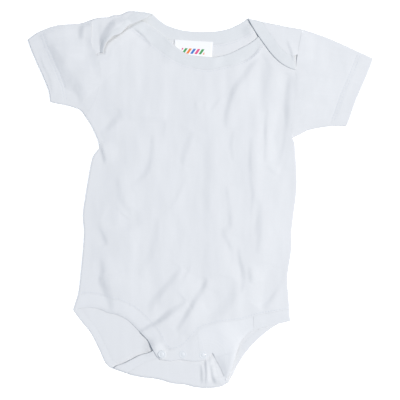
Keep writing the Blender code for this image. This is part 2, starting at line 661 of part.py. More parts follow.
def add_front():
    """The front body with its neckband, the right leg's binding, and the placket with the left one's."""
    neck_seam = curve_through(NECK_FRONT_SEAM)
    leg_seam = curve_through(LEG_RIGHT_FRONT_SEAM)
    placket_seam = curve_through(PLACKET_SEAM)
    side_right, side_left = curve_through(SIDE_RIGHT), curve_through(SIDE_LEFT)
    armhole_right = curve_through(ARMHOLE_RIGHT, ARMHOLE_STEP)
    armhole_left = curve_through(ARMHOLE_LEFT, ARMHOLE_STEP)
    body = loop(
        side_right[side_right[:, 1] > leg_seam[0, 1] + CLOTH],
        beside(np.vstack([leg_seam, placket_seam[1:]]), SEAM_GAP),
        side_left[side_left[:, 1] > placket_seam[-1, 1] + CLOTH],
        armhole_left[armhole_left[:, 1] < SHOULDER_LEFT_UNDER[0][1]][::-1],
        curve_through(SHOULDER_LEFT_UNDER),
        beside(neck_seam[::-1], SEAM_GAP),
        curve_through(SHOULDER_RIGHT_UNDER),
        armhole_right[armhole_right[:, 1] < SHOULDER_RIGHT_UNDER[-1][1]],
    )
    add_cloth("front_panel", body, place_front, JERSEY, FRONT_LATTICE_STEP, fold_points(FOLDS))
    neckband = loop(neck_seam, curve_through(NECK_FRONT_EDGE)[::-1])
    add_cloth("neckband_front", neckband, place_front, RIB, BAND_LATTICE_STEP)
    right_edge = curve_through(LEG_RIGHT_FRONT_EDGE)
    binding = loop(right_edge, leg_seam[::-1])
    add_cloth("leg_binding_right_front", binding, place_front, RIB, BAND_LATTICE_STEP)
    binding_end = np.array([leg_seam[-1], right_edge[-1]])
    edge_parts = parted_at(curve_through(LEG_LEFT_FRONT_EDGE), PLACKET_SPLIT)
    seam_parts = parted_at(placket_seam, PLACKET_SPLIT)
    placket = loop(
        beside(binding_end, SEAM_GAP),
        curve_through(PLACKET_EDGE)[1:],
        curve_through(PLACKET_CORNER),
        edge_parts[0],
        seam_parts[0][:0:-1],
    )
    add_cloth("snap_placket_front", placket, place_front, RIB, BAND_LATTICE_STEP)
    left_binding = loop(edge_parts[1], seam_parts[1][::-1])
    add_cloth("leg_binding_left_front", left_binding, place_front, RIB, BAND_LATTICE_STEP)


def add_back():
    """The back body, whose laps and tail turn over, its neckband and the back leg bindings."""
    neck, leg_right, leg_left = NECK_EDGE_FLAT, LEG_RIGHT_EDGE_FLAT, LEG_LEFT_EDGE_FLAT
    shares = np.linspace(0, 1, len(neck))
    tip_widths = [NECKBAND_WIDTH, NECKBAND_WIDTH, LAP_TIP_BAND_WIDTH]
    band_widths = np.interp(shares, [0, LAP_TIP_STARTS, 1], tip_widths)
    armhole_left = curve_through(ARMHOLE_LEFT, ARMHOLE_STEP)
    armhole_right = curve_through(ARMHOLE_RIGHT, ARMHOLE_STEP)
    lap_side_left = between(armhole_left, *LAP_LEFT_SIDE)
    lap_side_right = between(armhole_right, *LAP_RIGHT_SIDE)
    body = loop(
        curve_through(SIDE_RIGHT),
        beside(leg_right, LEG_BINDING_WIDTH + SEAM_GAP),
        unfolded_tail(TAIL_TOP),
        beside(leg_left, LEG_BINDING_WIDTH + SEAM_GAP),
        curve_through(SIDE_LEFT),
        armhole_left[::-1],
        unfolded_lap(lap_side_left),
        beside(neck, band_widths + SEAM_GAP),
        unfolded_lap(LAP_RIGHT_END),
        unfolded_lap(lap_side_right[::-1]),
        armhole_right,
    )
    fine = thinned(np.vstack([gather_points(), turn_rows(PANEL_COLUMN_STEP)]), FINE_POINTS_APART)
    add_cloth("back_panel", with_turn_points(body), place_on_back, JERSEY, BACK_LATTICE_STEP, fine)
    band_rows = turn_rows(BAND_COLUMN_STEP)
    for name, edge, widths in (
        ("neckband_back", neck, band_widths),
        ("leg_binding_right_back", leg_right, LEG_BINDING_WIDTH),
        ("leg_binding_left_back", leg_left, LEG_BINDING_WIDTH),
    ):
        strip = loop(edge, beside(edge, widths)[::-1])
        add_cloth(name, with_turn_points(strip), place_on_back, RIB, BAND_LATTICE_STEP, band_rows)


def add_label():
    def place(places, up):
        return np.column_stack([places, np.full(len(places), FRONT_LEVEL + up)])

    add_cloth("neck_label", label_outline(), place, SATIN, BAND_LATTICE_STEP, thickness=LABEL_THICKNESS)


def add_snap(name, x, y):
    """A round snap cap on the placket, with a softened rim."""
    angles = np.linspace(0, 2 * math.pi, SNAP_SIDES, endpoint=False)
    around = SNAP_RADIUS * np.column_stack([np.cos(angles), np.sin(angles)]) + (x, y)
    ground = front_under(around).max() + CLOTH + SEAM_GAP
    mesh = bmesh.new()
    bmesh.ops.create_cone(
        mesh, cap_ends=True, segments=SNAP_SIDES, radius1=SNAP_RADIUS, radius2=SNAP_RADIUS,
        depth=SNAP_HEIGHT, matrix=Matrix.Translation((x, y, ground + SNAP_HEIGHT / 2)),
    )
    rim = [e for e in mesh.edges if min(v.co.z for v in e.verts) > ground + SNAP_HEIGHT / 2]
    bmesh.ops.bevel(mesh, geom=rim, offset=SNAP_BEVEL, segments=2, affect="EDGES")
    verts = [tuple(v.co) for v in mesh.verts]
    faces = [tuple(v.index for v in f.verts) for f in mesh.faces]
    mesh.free()
    add_object(name, verts, faces, PEARL, 0.35)


def centre_pieces():
    """Puts the origin under the middle of the whole garment."""
    pieces = [o for o in bpy.data.objects if o.type == "MESH"]
    points = np.array([tuple(v.co) for o in pieces for v in o.data.vertices])
    middle = (points.min(axis=0) + points.max(axis=0)) / 2
    for piece in pieces:
        piece.data.transform(Matrix.Translation((-middle[0], -middle[1], 0)))


def main():
    for old in list(bpy.data.objects):
        bpy.data.objects.remove(old, do_unlink=True)
    add_back()
    add_front()
    add_sleeve("sleeve_right", ARMHOLE_RIGHT, SLEEVE_RIGHT_HEM, SLEEVE_RIGHT_TOP, SLEEVE_RIGHT_UNDER)
    add_sleeve("sleeve_left", ARMHOLE_LEFT, SLEEVE_LEFT_HEM, SLEEVE_LEFT_TOP, SLEEVE_LEFT_UNDER)
    add_label()
    for number, (x, y) in enumerate(SNAP_PLACES, 1):
        add_snap(f"snap_{number}", x, y)
    centre_pieces()


main()
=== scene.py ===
"""The looks of a baby bodysuit laid flat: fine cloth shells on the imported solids, seams, stitches,
snaps, finishes, light and camera. Tables are in millimetres, like the garment's own pattern, with
X towards the wearer's left sleeve and Y towards the neck. Meshes are in metres, in the row frame."""

import math

import bpy
import numpy as np
from mathutils import Matrix, Vector, noise
from mathutils.geometry import delaunay_2d_cdt


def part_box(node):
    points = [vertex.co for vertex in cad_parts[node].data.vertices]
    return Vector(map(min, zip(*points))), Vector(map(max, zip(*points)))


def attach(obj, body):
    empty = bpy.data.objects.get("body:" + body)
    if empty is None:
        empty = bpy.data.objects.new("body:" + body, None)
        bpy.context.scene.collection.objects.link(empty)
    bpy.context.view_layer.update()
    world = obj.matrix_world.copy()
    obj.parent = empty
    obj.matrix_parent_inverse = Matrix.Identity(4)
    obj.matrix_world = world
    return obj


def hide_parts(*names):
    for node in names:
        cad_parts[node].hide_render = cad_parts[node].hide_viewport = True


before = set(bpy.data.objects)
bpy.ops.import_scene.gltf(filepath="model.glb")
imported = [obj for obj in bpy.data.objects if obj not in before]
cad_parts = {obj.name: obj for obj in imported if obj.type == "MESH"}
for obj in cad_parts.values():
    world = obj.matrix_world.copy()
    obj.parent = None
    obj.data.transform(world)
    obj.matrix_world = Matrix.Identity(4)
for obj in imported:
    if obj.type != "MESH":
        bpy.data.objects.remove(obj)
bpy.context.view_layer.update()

METRES = 0.001

# Cloth and layers, as in the solids
CLOTH = 1.3
FRONT_LEVEL = 1.6
TURN_INSIDE = 0.95
TURN_OUTSIDE = TURN_INSIDE + CLOTH
TURN_LENGTH = math.pi * (TURN_INSIDE + CLOTH / 2)
TURNED_LEVEL = CLOTH + 2 * TURN_INSIDE
PLACKET_LEVEL = TURNED_LEVEL + FRONT_LEVEL
PUFF = 2.6
PUFF_REACH = 46.0
PUFF_SOFTNESS = 0.3
LAP_LEFT_LIFT = 0.2
LAP_RIGHT_LIFT = 2.0
LIFT_REACH = 9.0
LAP_SIDE_REACH = 13.0
LAP_MARGIN = 3.0
LAP_RUN_OUT = 8.0
# The front stays up beyond the tail's left side only. How far, how softly it comes down on the
# right and on the left, and the width over which the two sides blend
TAIL_MARGIN = 12.0
TAIL_RUN_OUT_RIGHT = 15.0
TAIL_RUN_OUT_LEFT = 22.0
TAIL_SIDES_SPAN = 40.0
TAIL_PUFF_SHARE = 0.5
# Soft mounds: middle, radius and height. The first lifts the front and the tail, the second all
# layers, and the third the back's inside where it meets a lap
BUNCH = ((40.0, -184.0), 26.0, 3.2)
MOUND = ((-50.0, -163.0), 15.0, 2.4)
NECK_CORNER = ((56.0, 186.0), 12.0, 2.0)
DEEPEST_GATHER = -0.27
LAP_RIDGE = 2.0
LAP_RIDGE_RISE = 2.4
LAP_RIDGE_FADE = 13.0
LAP_TIP_REACH = 18.0
SLEEVE_LIFT_RIGHT = 1.5
SLEEVE_LIFT_LEFT = 1.95
SLEEVE_LIFT_REACH = 20.0
LAP_SIDE_FADE = 16.0
SLEEVE_EDGE_REACH = 7.0
# How far in from a thinned edge the wall is thinner, and by what share
LEG_THINNING = (2.2, 0.6)
CORNER_THINNING = (4.0, 0.8)

# Pieces
NECKBAND_WIDTH = 14.5
LAP_TIP_BAND_WIDTH = 4.0
LAP_TIP_STARTS = 0.72
LEG_BINDING_WIDTH = 8.0
LEAST_SHEET_WIDTH = 10.0
LABEL_SIZE = (42.0, 19.0)
LABEL_THICKNESS = 0.5
LABEL_CENTRE = (-8.0, 165.0)
LABEL_TURN = math.radians(-3.5)
LABEL_MARGIN = 2.0
LABEL_RUN_OUT = 12.0
LABEL_ROOM = 1.3
# Snaps: x, y, and how far each is pressed into the cloth
SNAP_PLACES = [(-42.4, -169.4, 0.0), (-19.5, -169.6, 0.56), (2.5, -170.2, 0.56)]
# Half a snap cap's section: distance from its axis, and height
SNAP_PROFILE = [
    (0.0, 0.72), (1.2, 0.7), (2.0, 0.6), (2.4, 0.45), (2.75, 0.42), (3.1, 0.55), (3.6, 0.62),
    (4.05, 0.52), (4.35, 0.25), (4.4, -0.2),
]
SNAP_SIDES = 40

# Mesh
FINE_STEP = 1.6
CLEAR_OF_RIM_SHARE = 0.6
LATTICE_ROW_SHARE = 0.87
RIM_STEPS = 4
EDGE_ROUNDING = 0.6
SEAM_ROUNDING = 0.03
SAME_LINE = 0.2
SLEEVE_STATIONS = 84
SLEEVE_ACROSS = 56
SLEEVE_TURN_STEPS = 8
CHUNK = 6000

# Folds: how they fade towards their ends and how unevenly they run
FOLD_TAPER = 0.5
FOLD_END_WIDTH = 0.6
FOLD_FADE = 3.2
FOLD_STRENGTH = 1.3
FOLD_UNEVENNESS = 0.16
FOLD_UNEVEN_SPAN = 5.5
WANDER = 1.8
WANDER_SPAN = 21.0
WANDER_SLICES = (3.1, 9.7)
CRUMPLE_SLICES_APART = 7.3

# Sewing
PINCH_SHARE = 0.15
PINCH_HALF_WIDTH = 1.2
STITCH_LENGTH = 2.3
STITCH_GAP = 0.9
THREAD_RADIUS = 0.22
THREAD_SIDES = 6
THREAD_RAISE = 0.7
# Each stitch: share of its length, its radius and how far it is sunk, both in thread radii
STITCH_SECTION = [(0.0, 0.35, 1.2), (0.15, 0.85, 0.2), (0.5, 1.0, 0.0), (0.85, 0.85, 0.2), (1.0, 0.35, 1.2)]
HEM_DEPTH = 14.3
SLEEVE_SEAM_CLEAR = 2.5
HEM_ROWS_APART = 3.1
HEM_RISE = 0.25
STITCH_SINK = 0.22
STITCH_HALF_WIDTH = 0.9
STITCH_FROM_SEAM = 1.9

# Finishes. What a shader reads is in metres, apart from the label's stripes
KNIT_ROUGHNESS = 0.95
KNIT_SHEEN = 0.04
KNIT_SCALES = (130.0, 1400.0)
KNIT_MOTTLE = 0.016
KNIT_STREAK = 4.0
KNIT_BUMP = 0.35
COURSE_SHARE = 0.3
NOISE_RANGE = (0.7, 1.3)
LABEL_WHITE = (0.9, 0.9, 0.9)
LABEL_ROUGHNESS = 0.42
LABEL_SHEEN = 0.1
LABEL_WEAVE_SCALE = 500.0
LABEL_BUMP = 0.2
LABEL_BUMP_DEPTH = 1e-4
LABEL_STRIPE_LEAN = -0.6
LABEL_STRIPE_PITCH = 4.6
LABEL_STRIPE_SHARE = 0.62
LABEL_STRIPE_LOW = -5.2
LABEL_STRIPE_HIGH = 0.6
LABEL_STRIPE_REACH = 12.5
LABEL_COLOURS = [(0.02, 0.16, 0.55), (0.75, 0.05, 0.22), (0.04, 0.33, 0.08), (0.85, 0.2, 0.02)]

# Floor, camera and light
FLOOR_COLOUR = (0.93, 0.93, 0.93)
FLOOR_GLOW = 0.5
FLOOR_SIZE = 6
FLOOR_DROP = 0.0004
FRAME_WIDTH = 0.4386
CAMERA_SHIFT = -0.00055
CAMERA_HEIGHT = 2.0
CLOTH_HEIGHT = 0.004
SENSOR_WIDTH = 36.0
SKY_COLOUR = (0.80, 0.95, 1.20)
SKY_STRENGTH = 0.32
KEY_COLOUR = (1.0, 0.975, 0.94)
KEY_POWER = 174.0
KEY_SIZE = 1.15
KEY_DISTANCE = 4.5
KEY_FROM_ABOVE = math.radians(24)
KEY_AZIMUTH = math.radians(5)

# Seams and edges, as points (x, y). The right of each name is the wearer's right, at -X.
SLEEVE_RIGHT_TOP = [(-118.8, 198), (-132, 193.6), (-157.3, 191.4), (-178, 184), (-189.2, 176)]
SLEEVE_RIGHT_HEM = [(-189.2, 176), (-184, 162), (-172.7, 136.4), (-165.8, 119), (-163.9, 106.7)]
SLEEVE_RIGHT_UNDER = [(-126.5, 91.3), (-132, 98), (-145, 102.6), (-157, 105), (-163.9, 106.7)]
ARMHOLE_RIGHT = [
    (-118.8, 198), (-119.9, 181.5), (-118.8, 168.3), (-113.3, 156.2),
    (-110, 140.8), (-111.1, 123.2), (-117.7, 105.6), (-126.5, 91.3),
]
SLEEVE_LEFT_TOP = [(112.2, 187), (132, 180.4), (148.5, 173.8), (176, 161.2), (189.2, 155.1)]
SLEEVE_LEFT_HEM = [(189.2, 155.1), (181.5, 135.3), (170.5, 110), (162, 86), (159.5, 80.3)]
SLEEVE_LEFT_UNDER = [(101.2, 67.1), (111, 72), (119, 76), (143, 80.2), (159.5, 80.3)]
ARMHOLE_LEFT = [
    (112.2, 187), (107.8, 168.3), (104.5, 143), (105.6, 126.5),
    (103.2, 108), (102, 90), (99.8, 77), (101.2, 67.1),
]
SIDE_RIGHT = [
    (-126.5, 91.3), (-118.8, 79.2), (-111.1, 58), (-117.7, 47.3), (-123, 22), (-126.5, 0),
    (-128.7, -16.5), (-127.6, -38.5), (-130.9, -77), (-134.2, -104.5), (-139.7, -122),
]
SIDE_LEFT = [
    (99, -133), (96.8, -106.7), (95.7, -84), (100.1, -52.8), (100.1, -35),
    (105.6, 11), (105.6, 27.5), (103.4, 60.5), (101.2, 67.1),
]
SHOULDER_RIGHT = [
    (-118.8, 198), (-112, 199.7), (-101, 200.4), (-96, 202.4), (-88, 203.2),
    (-79.2, 206.8), (-70, 206.8), (-60.5, 205.7), (-52.8, 204.1),
]
SHOULDER_LEFT = [(51.7, 199.1), (71.5, 194.7), (99, 189.2), (112.2, 187)]
NECK_BACK_EDGE = [
    (48.4, 196.4), (41.8, 192.5), (30.8, 187.6), (16.5, 184.8), (0, 184.3),
    (-16.5, 185.4), (-27.5, 188.1), (-38.5, 192.5), (-48, 199.6),
]
LAP_LEFT_EDGE = [
    (104.4, 142), (99, 143.4), (88, 149.6), (77, 160.6), (69.3, 171.2), (61, 183), (55, 193),
]
LAP_RIGHT_EDGE = [
    (-57.5, 200.5), (-62, 197.8), (-71.5, 193.4), (-82.5, 187), (-93.5, 179.3),
    (-102, 172.5), (-105.4, 166), (-106.2, 160.6),
]
LAP_RIGHT_END = [(-110.6, 160.6), (-114.2, 158.9)]
LAP_LEFT_SIDE = (157.5, 182)
LAP_RIGHT_SIDE = (159, 193)
SHOULDER_LEFT_UNDER = [(109.5, 181.8), (95, 185), (80.5, 186.5)]
SHOULDER_RIGHT_UNDER = [(-86, 197.5), (-100, 195), (-118.5, 191.6)]
NECK_FRONT_EDGE = [
    (-70, 199), (-57.2, 192.5), (-47, 184.8), (-38.5, 178), (-22, 163.9), (-11, 158.6), (5.5, 156.6),
    (16.5, 156.2), (33, 160.6), (44, 166), (55, 172), (62.7, 178.2), (69, 187.5),
]
NECK_FRONT_SEAM = [
    (-84, 196.5), (-76, 189.2), (-66, 181), (-44, 162.8), (-27.5, 151.8), (-15, 147), (0, 143),
    (11, 142.5), (24, 145.2), (44, 150.7), (56, 157.3), (68.2, 170.5), (79, 184),
]
LEG_RIGHT_FRONT_EDGE = [
    (-139.6, -121.3), (-126.5, -118.8), (-112, -120), (-102, -124.3), (-91, -126.7), (-79, -133.2),
    (-68, -144), (-58, -154.3), (-52.5, -164.2), (-47.5, -172.4), (-44, -175.5),
]
LEG_RIGHT_FRONT_SEAM = [
    (-134.3, -105.2), (-126, -103.4), (-112, -104.6), (-98, -109), (-85, -112.5), (-70, -121),
    (-56, -134.5), (-46, -146), (-40.5, -157), (-34.1, -165),
]
PLACKET_SEAM = [
    (-34.1, -165), (-24, -163), (-15, -157), (-8, -149), (0, -141.2), (11, -137.3),
    (22, -134.4), (44, -132), (66, -126), (80, -123.8), (97.3, -120.2),
]
PLACKET_EDGE = [(-44, -175.5), (-33, -177.1), (-22, -175.7), (-11, -177.1), (0, -177.1), (6.6, -175.5)]
PLACKET_CORNER = [(13.2, -168.3), (17, -176), (22, -184.8), (25.5, -193), (27.5, -198.6)]
LEG_LEFT_FRONT_EDGE = [
    (30.4, -193.5), (35, -182.6), (37.6, -173), (42.9, -158.4), (48.4, -150.7),
    (56, -144.7), (68.2, -140.8), (82.5, -137.5), (98.8, -133.6),
]
PLACKET_SPLIT = 58.0
LEG_RIGHT_BACK_EDGE = [
    (-139.7, -122.1), (-129, -136), (-120.5, -146.5), (-110, -167.2), (-104.5, -179.3), (-100, -184.2),
]
LEG_LEFT_BACK_EDGE = [
    (33.4, -196.5), (36.3, -191.4), (41, -181.6), (51, -166.6), (66, -151), (83.6, -138), (99, -133.1),
]
TAIL_RIGHT_EDGE = [(-92, -182.4), (-85, -180), (-77, -176), (-66, -170.5), (-54, -166.6), (-44, -160)]
TAIL_TOP = [(-40, -157), (-20, -156), (0, -156), (16, -157)]
TAIL_LEFT_EDGE = [(18, -160), (21, -168), (25.5, -181), (29, -192)]
BOTTOM_FOLD = [
    (-99, -184.8), (-92.4, -187), (-77, -192.5), (-63.8, -195.3), (-46.2, -197.5), (-30.8, -201.9),
    (-16.5, -203.5), (-3, -206.6), (14, -206.8), (24, -205), (31.9, -200.2),
]

# Folds of the front and sleeves. Each is a step up from the cloth on its right to that on its left,
# seen along it from its top, which fades away gently on both sides: name, half width of the step,
# its height, how much of the height is a ridge on the left and not a trough on the right, and
# points (x, y) from its top down.
FOLDS = [
    ("sleeve right roll", 11, 3.6, 0.7, [(-181, 187), (-166, 163), (-151, 138), (-127, 111)]),
    ("sleeve right under roll", 3, 0.6, 0.5, [(-152, 121), (-143, 118), (-134, 119)]),
    ("sleeve right top", 4, 2.2, 0.8, [(-131, 203), (-131, 190), (-132, 177)]),
    ("shoulder right", 6, 1.4, 0.6, [(-121, 198), (-120, 170), (-116, 152), (-111, 132)]),
    ("underarm right", 5, 1.4, 0.5, [(-85, 95), (-97, 83), (-112, 72)]),
    ("chest right", 5, 1.2, 0.5, [(-90, 90), (-38, 86)]),
    ("side notch", 3.2, 1.9, 0.7, [(-111, 62), (-105, 38)]),
    ("waist right hook", 3.6, 0.9, 0.5, [(-52, 70), (-55, 40), (-66, 22), (-77, 13)]),
    ("waist right dart", 4, 0.65, 0.5, [(-92, 24), (-88, 2), (-75, -18)]),
    ("belly right hollow", 6, 1.0, 0.5, [(-70, -10), (-70, -26), (-90, -33), (-110, -24)]),
    ("belly right nick", 2.6, 0.9, 0.2, [(-110, -30), (-102, -50)]),
    ("waist centre slant", 2.4, 0.35, 0.5, [(-17, 24), (-27, 2), (-36, -14)]),
    ("belly right slant", 5, 0.7, 0.5, [(-47, -20), (-50, -44), (-66, -86)]),
    ("waist centre", 6, 0.5, 0.5, [(8, 70), (8, -16)]),
    ("chest centre", 5, 1.1, 0.5, [(-9, 76), (-21, 38)]),
    ("chest centre nick", 1.5, 0.4, 0.5, [(22, 114), (11, 95)]),
    ("chest nick", 1.5, 0.3, 0.5, [(-5, 109), (-6, 99)]),
    ("chest second nick", 1.5, 0.3, 0.5, [(5, 108), (3, 98)]),
    ("chest left nick", 2.6, 0.6, 0.8, [(35, 76), (34, 42)]),
    ("chest left slant", 4, 1.5, 0.8, [(64, 156), (49, 137), (33, 113), (26, 78)]),
    ("chest left broad", 6, 1.1, 0.3, [(75, 163), (73, 132), (68, 95)]),
    ("waist left long", 2.4, 0.7, 0.6, [(55, 70), (55, 22), (57, 5), (55, -17)]),
    ("chest left long", 2.4, 1.0, 0.5, [(73, 98), (71, 70), (71, 40)]),
    ("chest left hook", 2.4, 0.5, 0.5, [(71, 38), (77, 31), (84, 28), (88, 44)]),
    ("armhole left", 4, 1.2, 0.1, [(98, 145), (95, 110), (91, 72), (85, 34)]),
    ("armhole left run", 9, 1.0, 0.8, [(103, 140), (100, 110), (96, 72), (90, 34)]),
    ("belly left inner", 3.6, 0.95, 0.9, [(28, 15), (32, -27), (26, -36), (36, -59)]),
    ("belly left outer", 4.5, 1.0, 0.8, [(62, 1), (65, -35), (62, -59)]),
    ("belly left cross", 2, 0.25, 0.5, [(68, -3), (62, -22), (60, -42)]),
    ("hip left inner", 2.8, 1.0, 0.3, [(43, -51), (43, -68), (47, -82), (45, -103)]),
    ("hip left nick", 2.6, 0.8, 0.9, [(53, -73), (55, -93)]),
    ("belly centre broad", 6, 0.6, 0.5, [(8, -46), (7, -77), (4, -97)]),
    ("crotch crease", 3.8, 2.0, 0.5, [(6, -86), (0, -102), (-12, -121), (-27, -144)]),
    ("leg right broad", 5, 1.6, 0.6, [(-22, -74), (-44, -104), (-54, -116), (-57, -131)]),
    ("leg right crease", 4.6, 3.4, 0.5, [(-16, -112), (-35, -125), (-50, -136), (-68, -144), (-80, -151)]),
    ("hip centre nick", 1.8, 0.4, 0.5, [(-12, -74), (-19, -90)]),
    ("hip right valley", 3.6, 0.95, 0.5, [(-109, -64), (-107, -79), (-113, -94)]),
    ("leg right valley", 8, 2.6, 0.5, [(-108, -84), (-102, -110), (-100, -127)]),
    ("hip left outer", 5, 1.8, 0.1, [(90, -76), (84, -93), (77, -108), (67, -122)]),
    ("hip left broad", 7, 1.7, 0.5, [(38, -86), (33, -110), (14, -130)]),
    ("placket hollow", 4, 0.5, 0.5, [(-18, -149), (-8, -151)]),
    ("placket hook", 1.5, 1.1, 0.5, [(-44, -151), (-39.6, -160), (-33, -165), (-24, -162.8), (-15, -157)]),
    ("sleeve right hem roll", 3, 1.5, 0.9, [(-180, 165), (-174, 147), (-167, 130), (-163, 112)]),
    ("neck seam right end", 1.4, 1.8, 0.5, [(-84, 196), (-76, 189.2), (-69, 184), (-54, 170)]),
    ("neck seam left end", 1.4, 1.5, 0.5, [(84, 190), (68.2, 170.5), (56, 157.3), (48, 151)]),
    ("leg seam right end", 1.4, 1.1, 0.5, [(-142, -107), (-134, -105.2), (-126, -103.4), (-116, -103.4)]),
]
LAP_FOLDS = [
    ("lap right valley", 5.8, 4.0, 0.72, [(-84, 204), (-98, 192), (-103, 181), (-108, 169), (-110, 152)]),
    ("lap right crease", 2.4, 1.4, 0.5, [(-94, 194), (-84, 201), (-73, 207)]),
    ("lap left crease", 1.6, 0.9, 0.9, [(94, 172), (104, 150)]),
]
TAIL_GATHERS = [
    ("first gather", 1.3, 1.1, 1.0, [(1.2, -181), (1.5, -211)]),
    ("second gather", 1.3, 2.1, 1.0, [(6.4, -175), (6.0, -210)]),
    ("third gather", 1.2, 1.0, 1.0, [(10, -172), (11, -188)]),
    ("fourth gather", 1.6, 2.2, 1.0, [(12.6, -181), (12.8, -193), (15.4, -199), (17.6, -208)]),
    ("corner hollow", 5.0, 2.4, 1.0, [(18, -194), (20, -211)]),
]
# Small uneven creasing all over: size across and along (mm), height (mm)
CRUMPLES = [(26.0, 62.0, 0.9), (11.0, 32.0, 0.34), (5.0, 13.0, 0.08)]
CRUMPLE_EDGE_REACH = 12.0


def ease(share):
    """From 0 to 1, level at both ends."""
    share = np.clip(share, 0, 1)
    return share * share * (3 - 2 * share)


def curve_through(points, step=FINE_STEP):
    """Points about a step apart on a smooth curve through the given ones."""
    knots = np.array(points, float)
    lengths = np.linalg.norm(np.diff(knots, axis=0), axis=1)
    tangents = np.empty_like(knots)
    tangents[0] = (knots[1] - knots[0]) / lengths[0]
    tangents[-1] = (knots[-1] - knots[-2]) / lengths[-1]
    tangents[1:-1] = (knots[2:] - knots[:-2]) / (lengths[1:] + lengths[:-1])[:, None]
    stretches = []
    for i, length in enumerate(lengths):
        count = max(1, round(length / step))
        t = (np.arange(count) / count)[:, None]
        stretches.append(
            knots[i] * (2 * t**3 - 3 * t**2 + 1)
            + knots[i + 1] * (3 * t**2 - 2 * t**3)
            + tangents[i] * length * (t**3 - 2 * t**2 + t)
            + tangents[i + 1] * length * (t**3 - t**2)
        )
    return np.vstack(stretches + [knots[-1:]])


def directions(line):
    along = np.gradient(line, axis=0)
    return along / np.linalg.norm(along, axis=1)[:, None]


def beside(line, distance):
    """The line moved to its left by a distance, which may differ from point to point."""
    along = directions(line)
    left = np.column_stack([-along[:, 1], along[:, 0]])
    return line + left * np.reshape(distance, (-1, 1))


def length_along(line):
    return np.concatenate([[0], np.cumsum(np.linalg.norm(np.diff(line, axis=0), axis=1))])


def at_lengths(line, lengths):
    """The points of a line at these lengths along it."""
    along = length_along(line)
    return np.column_stack([np.interp(lengths, along, line[:, k]) for k in (0, 1)])


def spaced(line, step, closed=False):
    """The line again, with points about a step apart on its stretches. Its own points stay."""
    ends = np.vstack([line, line[:1]]) if closed else line
    points = []
    for here, there in zip(ends[:-1], ends[1:]):
        count = max(1, round(float(np.linalg.norm(there - here)) / step))
        points += [here + (there - here) * k / count for k in range(count)]
    return np.array(points if closed else points + [ends[-1]])


def loop(*lines):
    """One closed outline from lines that follow each other, without doubled points."""
    points = np.vstack(lines)
    apart = np.linalg.norm(points - np.roll(points, 1, axis=0), axis=1)
    return points[apart > FINE_STEP / 4]


def area_of(outline):
    x, y = outline.T
    return float(np.dot(x, np.roll(y, -1)) - np.dot(y, np.roll(x, -1))) / 2


def in_chunks(measure, places):
    """A measure of many places, taken some at a time to spare memory."""
    parts = [measure(places[k : k + CHUNK]) for k in range(0, len(places), CHUNK)]
    if isinstance(parts[0], tuple):
        return tuple(np.concatenate(part) for part in zip(*parts))
    return np.concatenate(parts)


def offset_and_share(places, line):
    """How far each place is from a line, above 0 on its left, and how far along it is nearest."""
    start, step = line[:-1], np.diff(line, axis=0)
    lengths = np.linalg.norm(step, axis=1)
    before = np.concatenate([[0], np.cumsum(lengths)])

    def measure(places):
        offset = places[:, None, :] - start[None]
        t = np.clip((offset * step).sum(axis=2) / lengths**2, 0, 1)
        apart = np.linalg.norm(offset - t[:, :, None] * step, axis=2)
        nearest = apart.argmin(axis=1)
        rows = np.arange(len(places))
        ahead, away = step[nearest], offset[rows, nearest]
        side = np.sign(ahead[:, 0] * away[:, 1] - ahead[:, 1] * away[:, 0])
        share = (before[nearest] + t[rows, nearest] * lengths[nearest]) / before[-1]
        return apart[rows, nearest] * np.where(side < 0, -1, 1), share

    return in_chunks(measure, places)


def distance_to(places, *lines):
    """How far each place is from the nearest of some lines."""
    return np.min([np.abs(offset_and_share(places, line)[0]) for line in lines], axis=0)


def is_inside(places, outline):
    """Whether each place lies in a closed outline."""
    x0, y0 = outline[:, 0], outline[:, 1]
    x1, y1 = np.roll(x0, -1), np.roll(y0, -1)
    rises = np.where(y1 == y0, 1e-9, y1 - y0)

    def measure(places):
        x, y = places[:, 0, None], places[:, 1, None]
        crosses = ((y0 > y) != (y1 > y)) & (x < (x1 - x0) * (y - y0) / rises + x0)
        return crosses.sum(axis=1) % 2 == 1

    return in_chunks(measure, places)


def cover(places, outline, margin, run_out):
    """1 on an area and its margin, easing to 0 over the run-out beyond."""
    apart = distance_to(places, np.vstack([outline, outline[:1]]))
    apart[is_inside(places, outline)] = 0
    return 1 - ease((apart - margin) / run_out)


def wander(places):
    """Small uneven shifts, so that no fold runs as evenly as its line."""
    spots = places / WANDER_SPAN
    return WANDER * np.array([[noise.noise((x, y, z)) for z in WANDER_SLICES] for x, y in spots])


def fold_heights(places, folds):
    """The sum of soft steps, each with gentle slopes on both sides and fading towards its ends."""
    height = np.zeros(len(places))
    shifted = places + wander(places)
    for number, (_, half_width, step, ridge_share, points) in enumerate(folds):
        line = curve_through(points, 2 * FINE_STEP)
        offset, share = offset_and_share(shifted, line)
        fullness = np.maximum(np.sin(math.pi * share), 0) ** FOLD_TAPER
        across = offset / (half_width * (FOLD_END_WIDTH + (1 - FOLD_END_WIDTH) * fullness))
        fullness *= 1 + FOLD_UNEVENNESS * np.sin(share * length_along(line)[-1] / FOLD_UNEVEN_SPAN + number)
        fading = np.exp(-((np.maximum(np.abs(across) - 1, 0) / FOLD_FADE) ** 2))
        risen = ease((across + 1) / 2) - (1 - ridge_share)
        height += FOLD_STRENGTH * step * fullness * risen * fading
    return height


def crumple(places):
    """Small uneven creasing, from smooth noise."""
    height = np.zeros(len(places))
    for number, (across, along, depth) in enumerate(CRUMPLES):
        z = CRUMPLE_SLICES_APART * number
        height += depth * np.array([noise.noise((x / across, y / along, z)) for x, y in places])
    return height


# The two folds of the back, as lines y(x) on which its turns begin
TOP_OUTLINE = np.vstack([curve_through(SHOULDER_RIGHT), curve_through(SHOULDER_LEFT)])
BOTTOM_OUTLINE = curve_through(BOTTOM_FOLD)


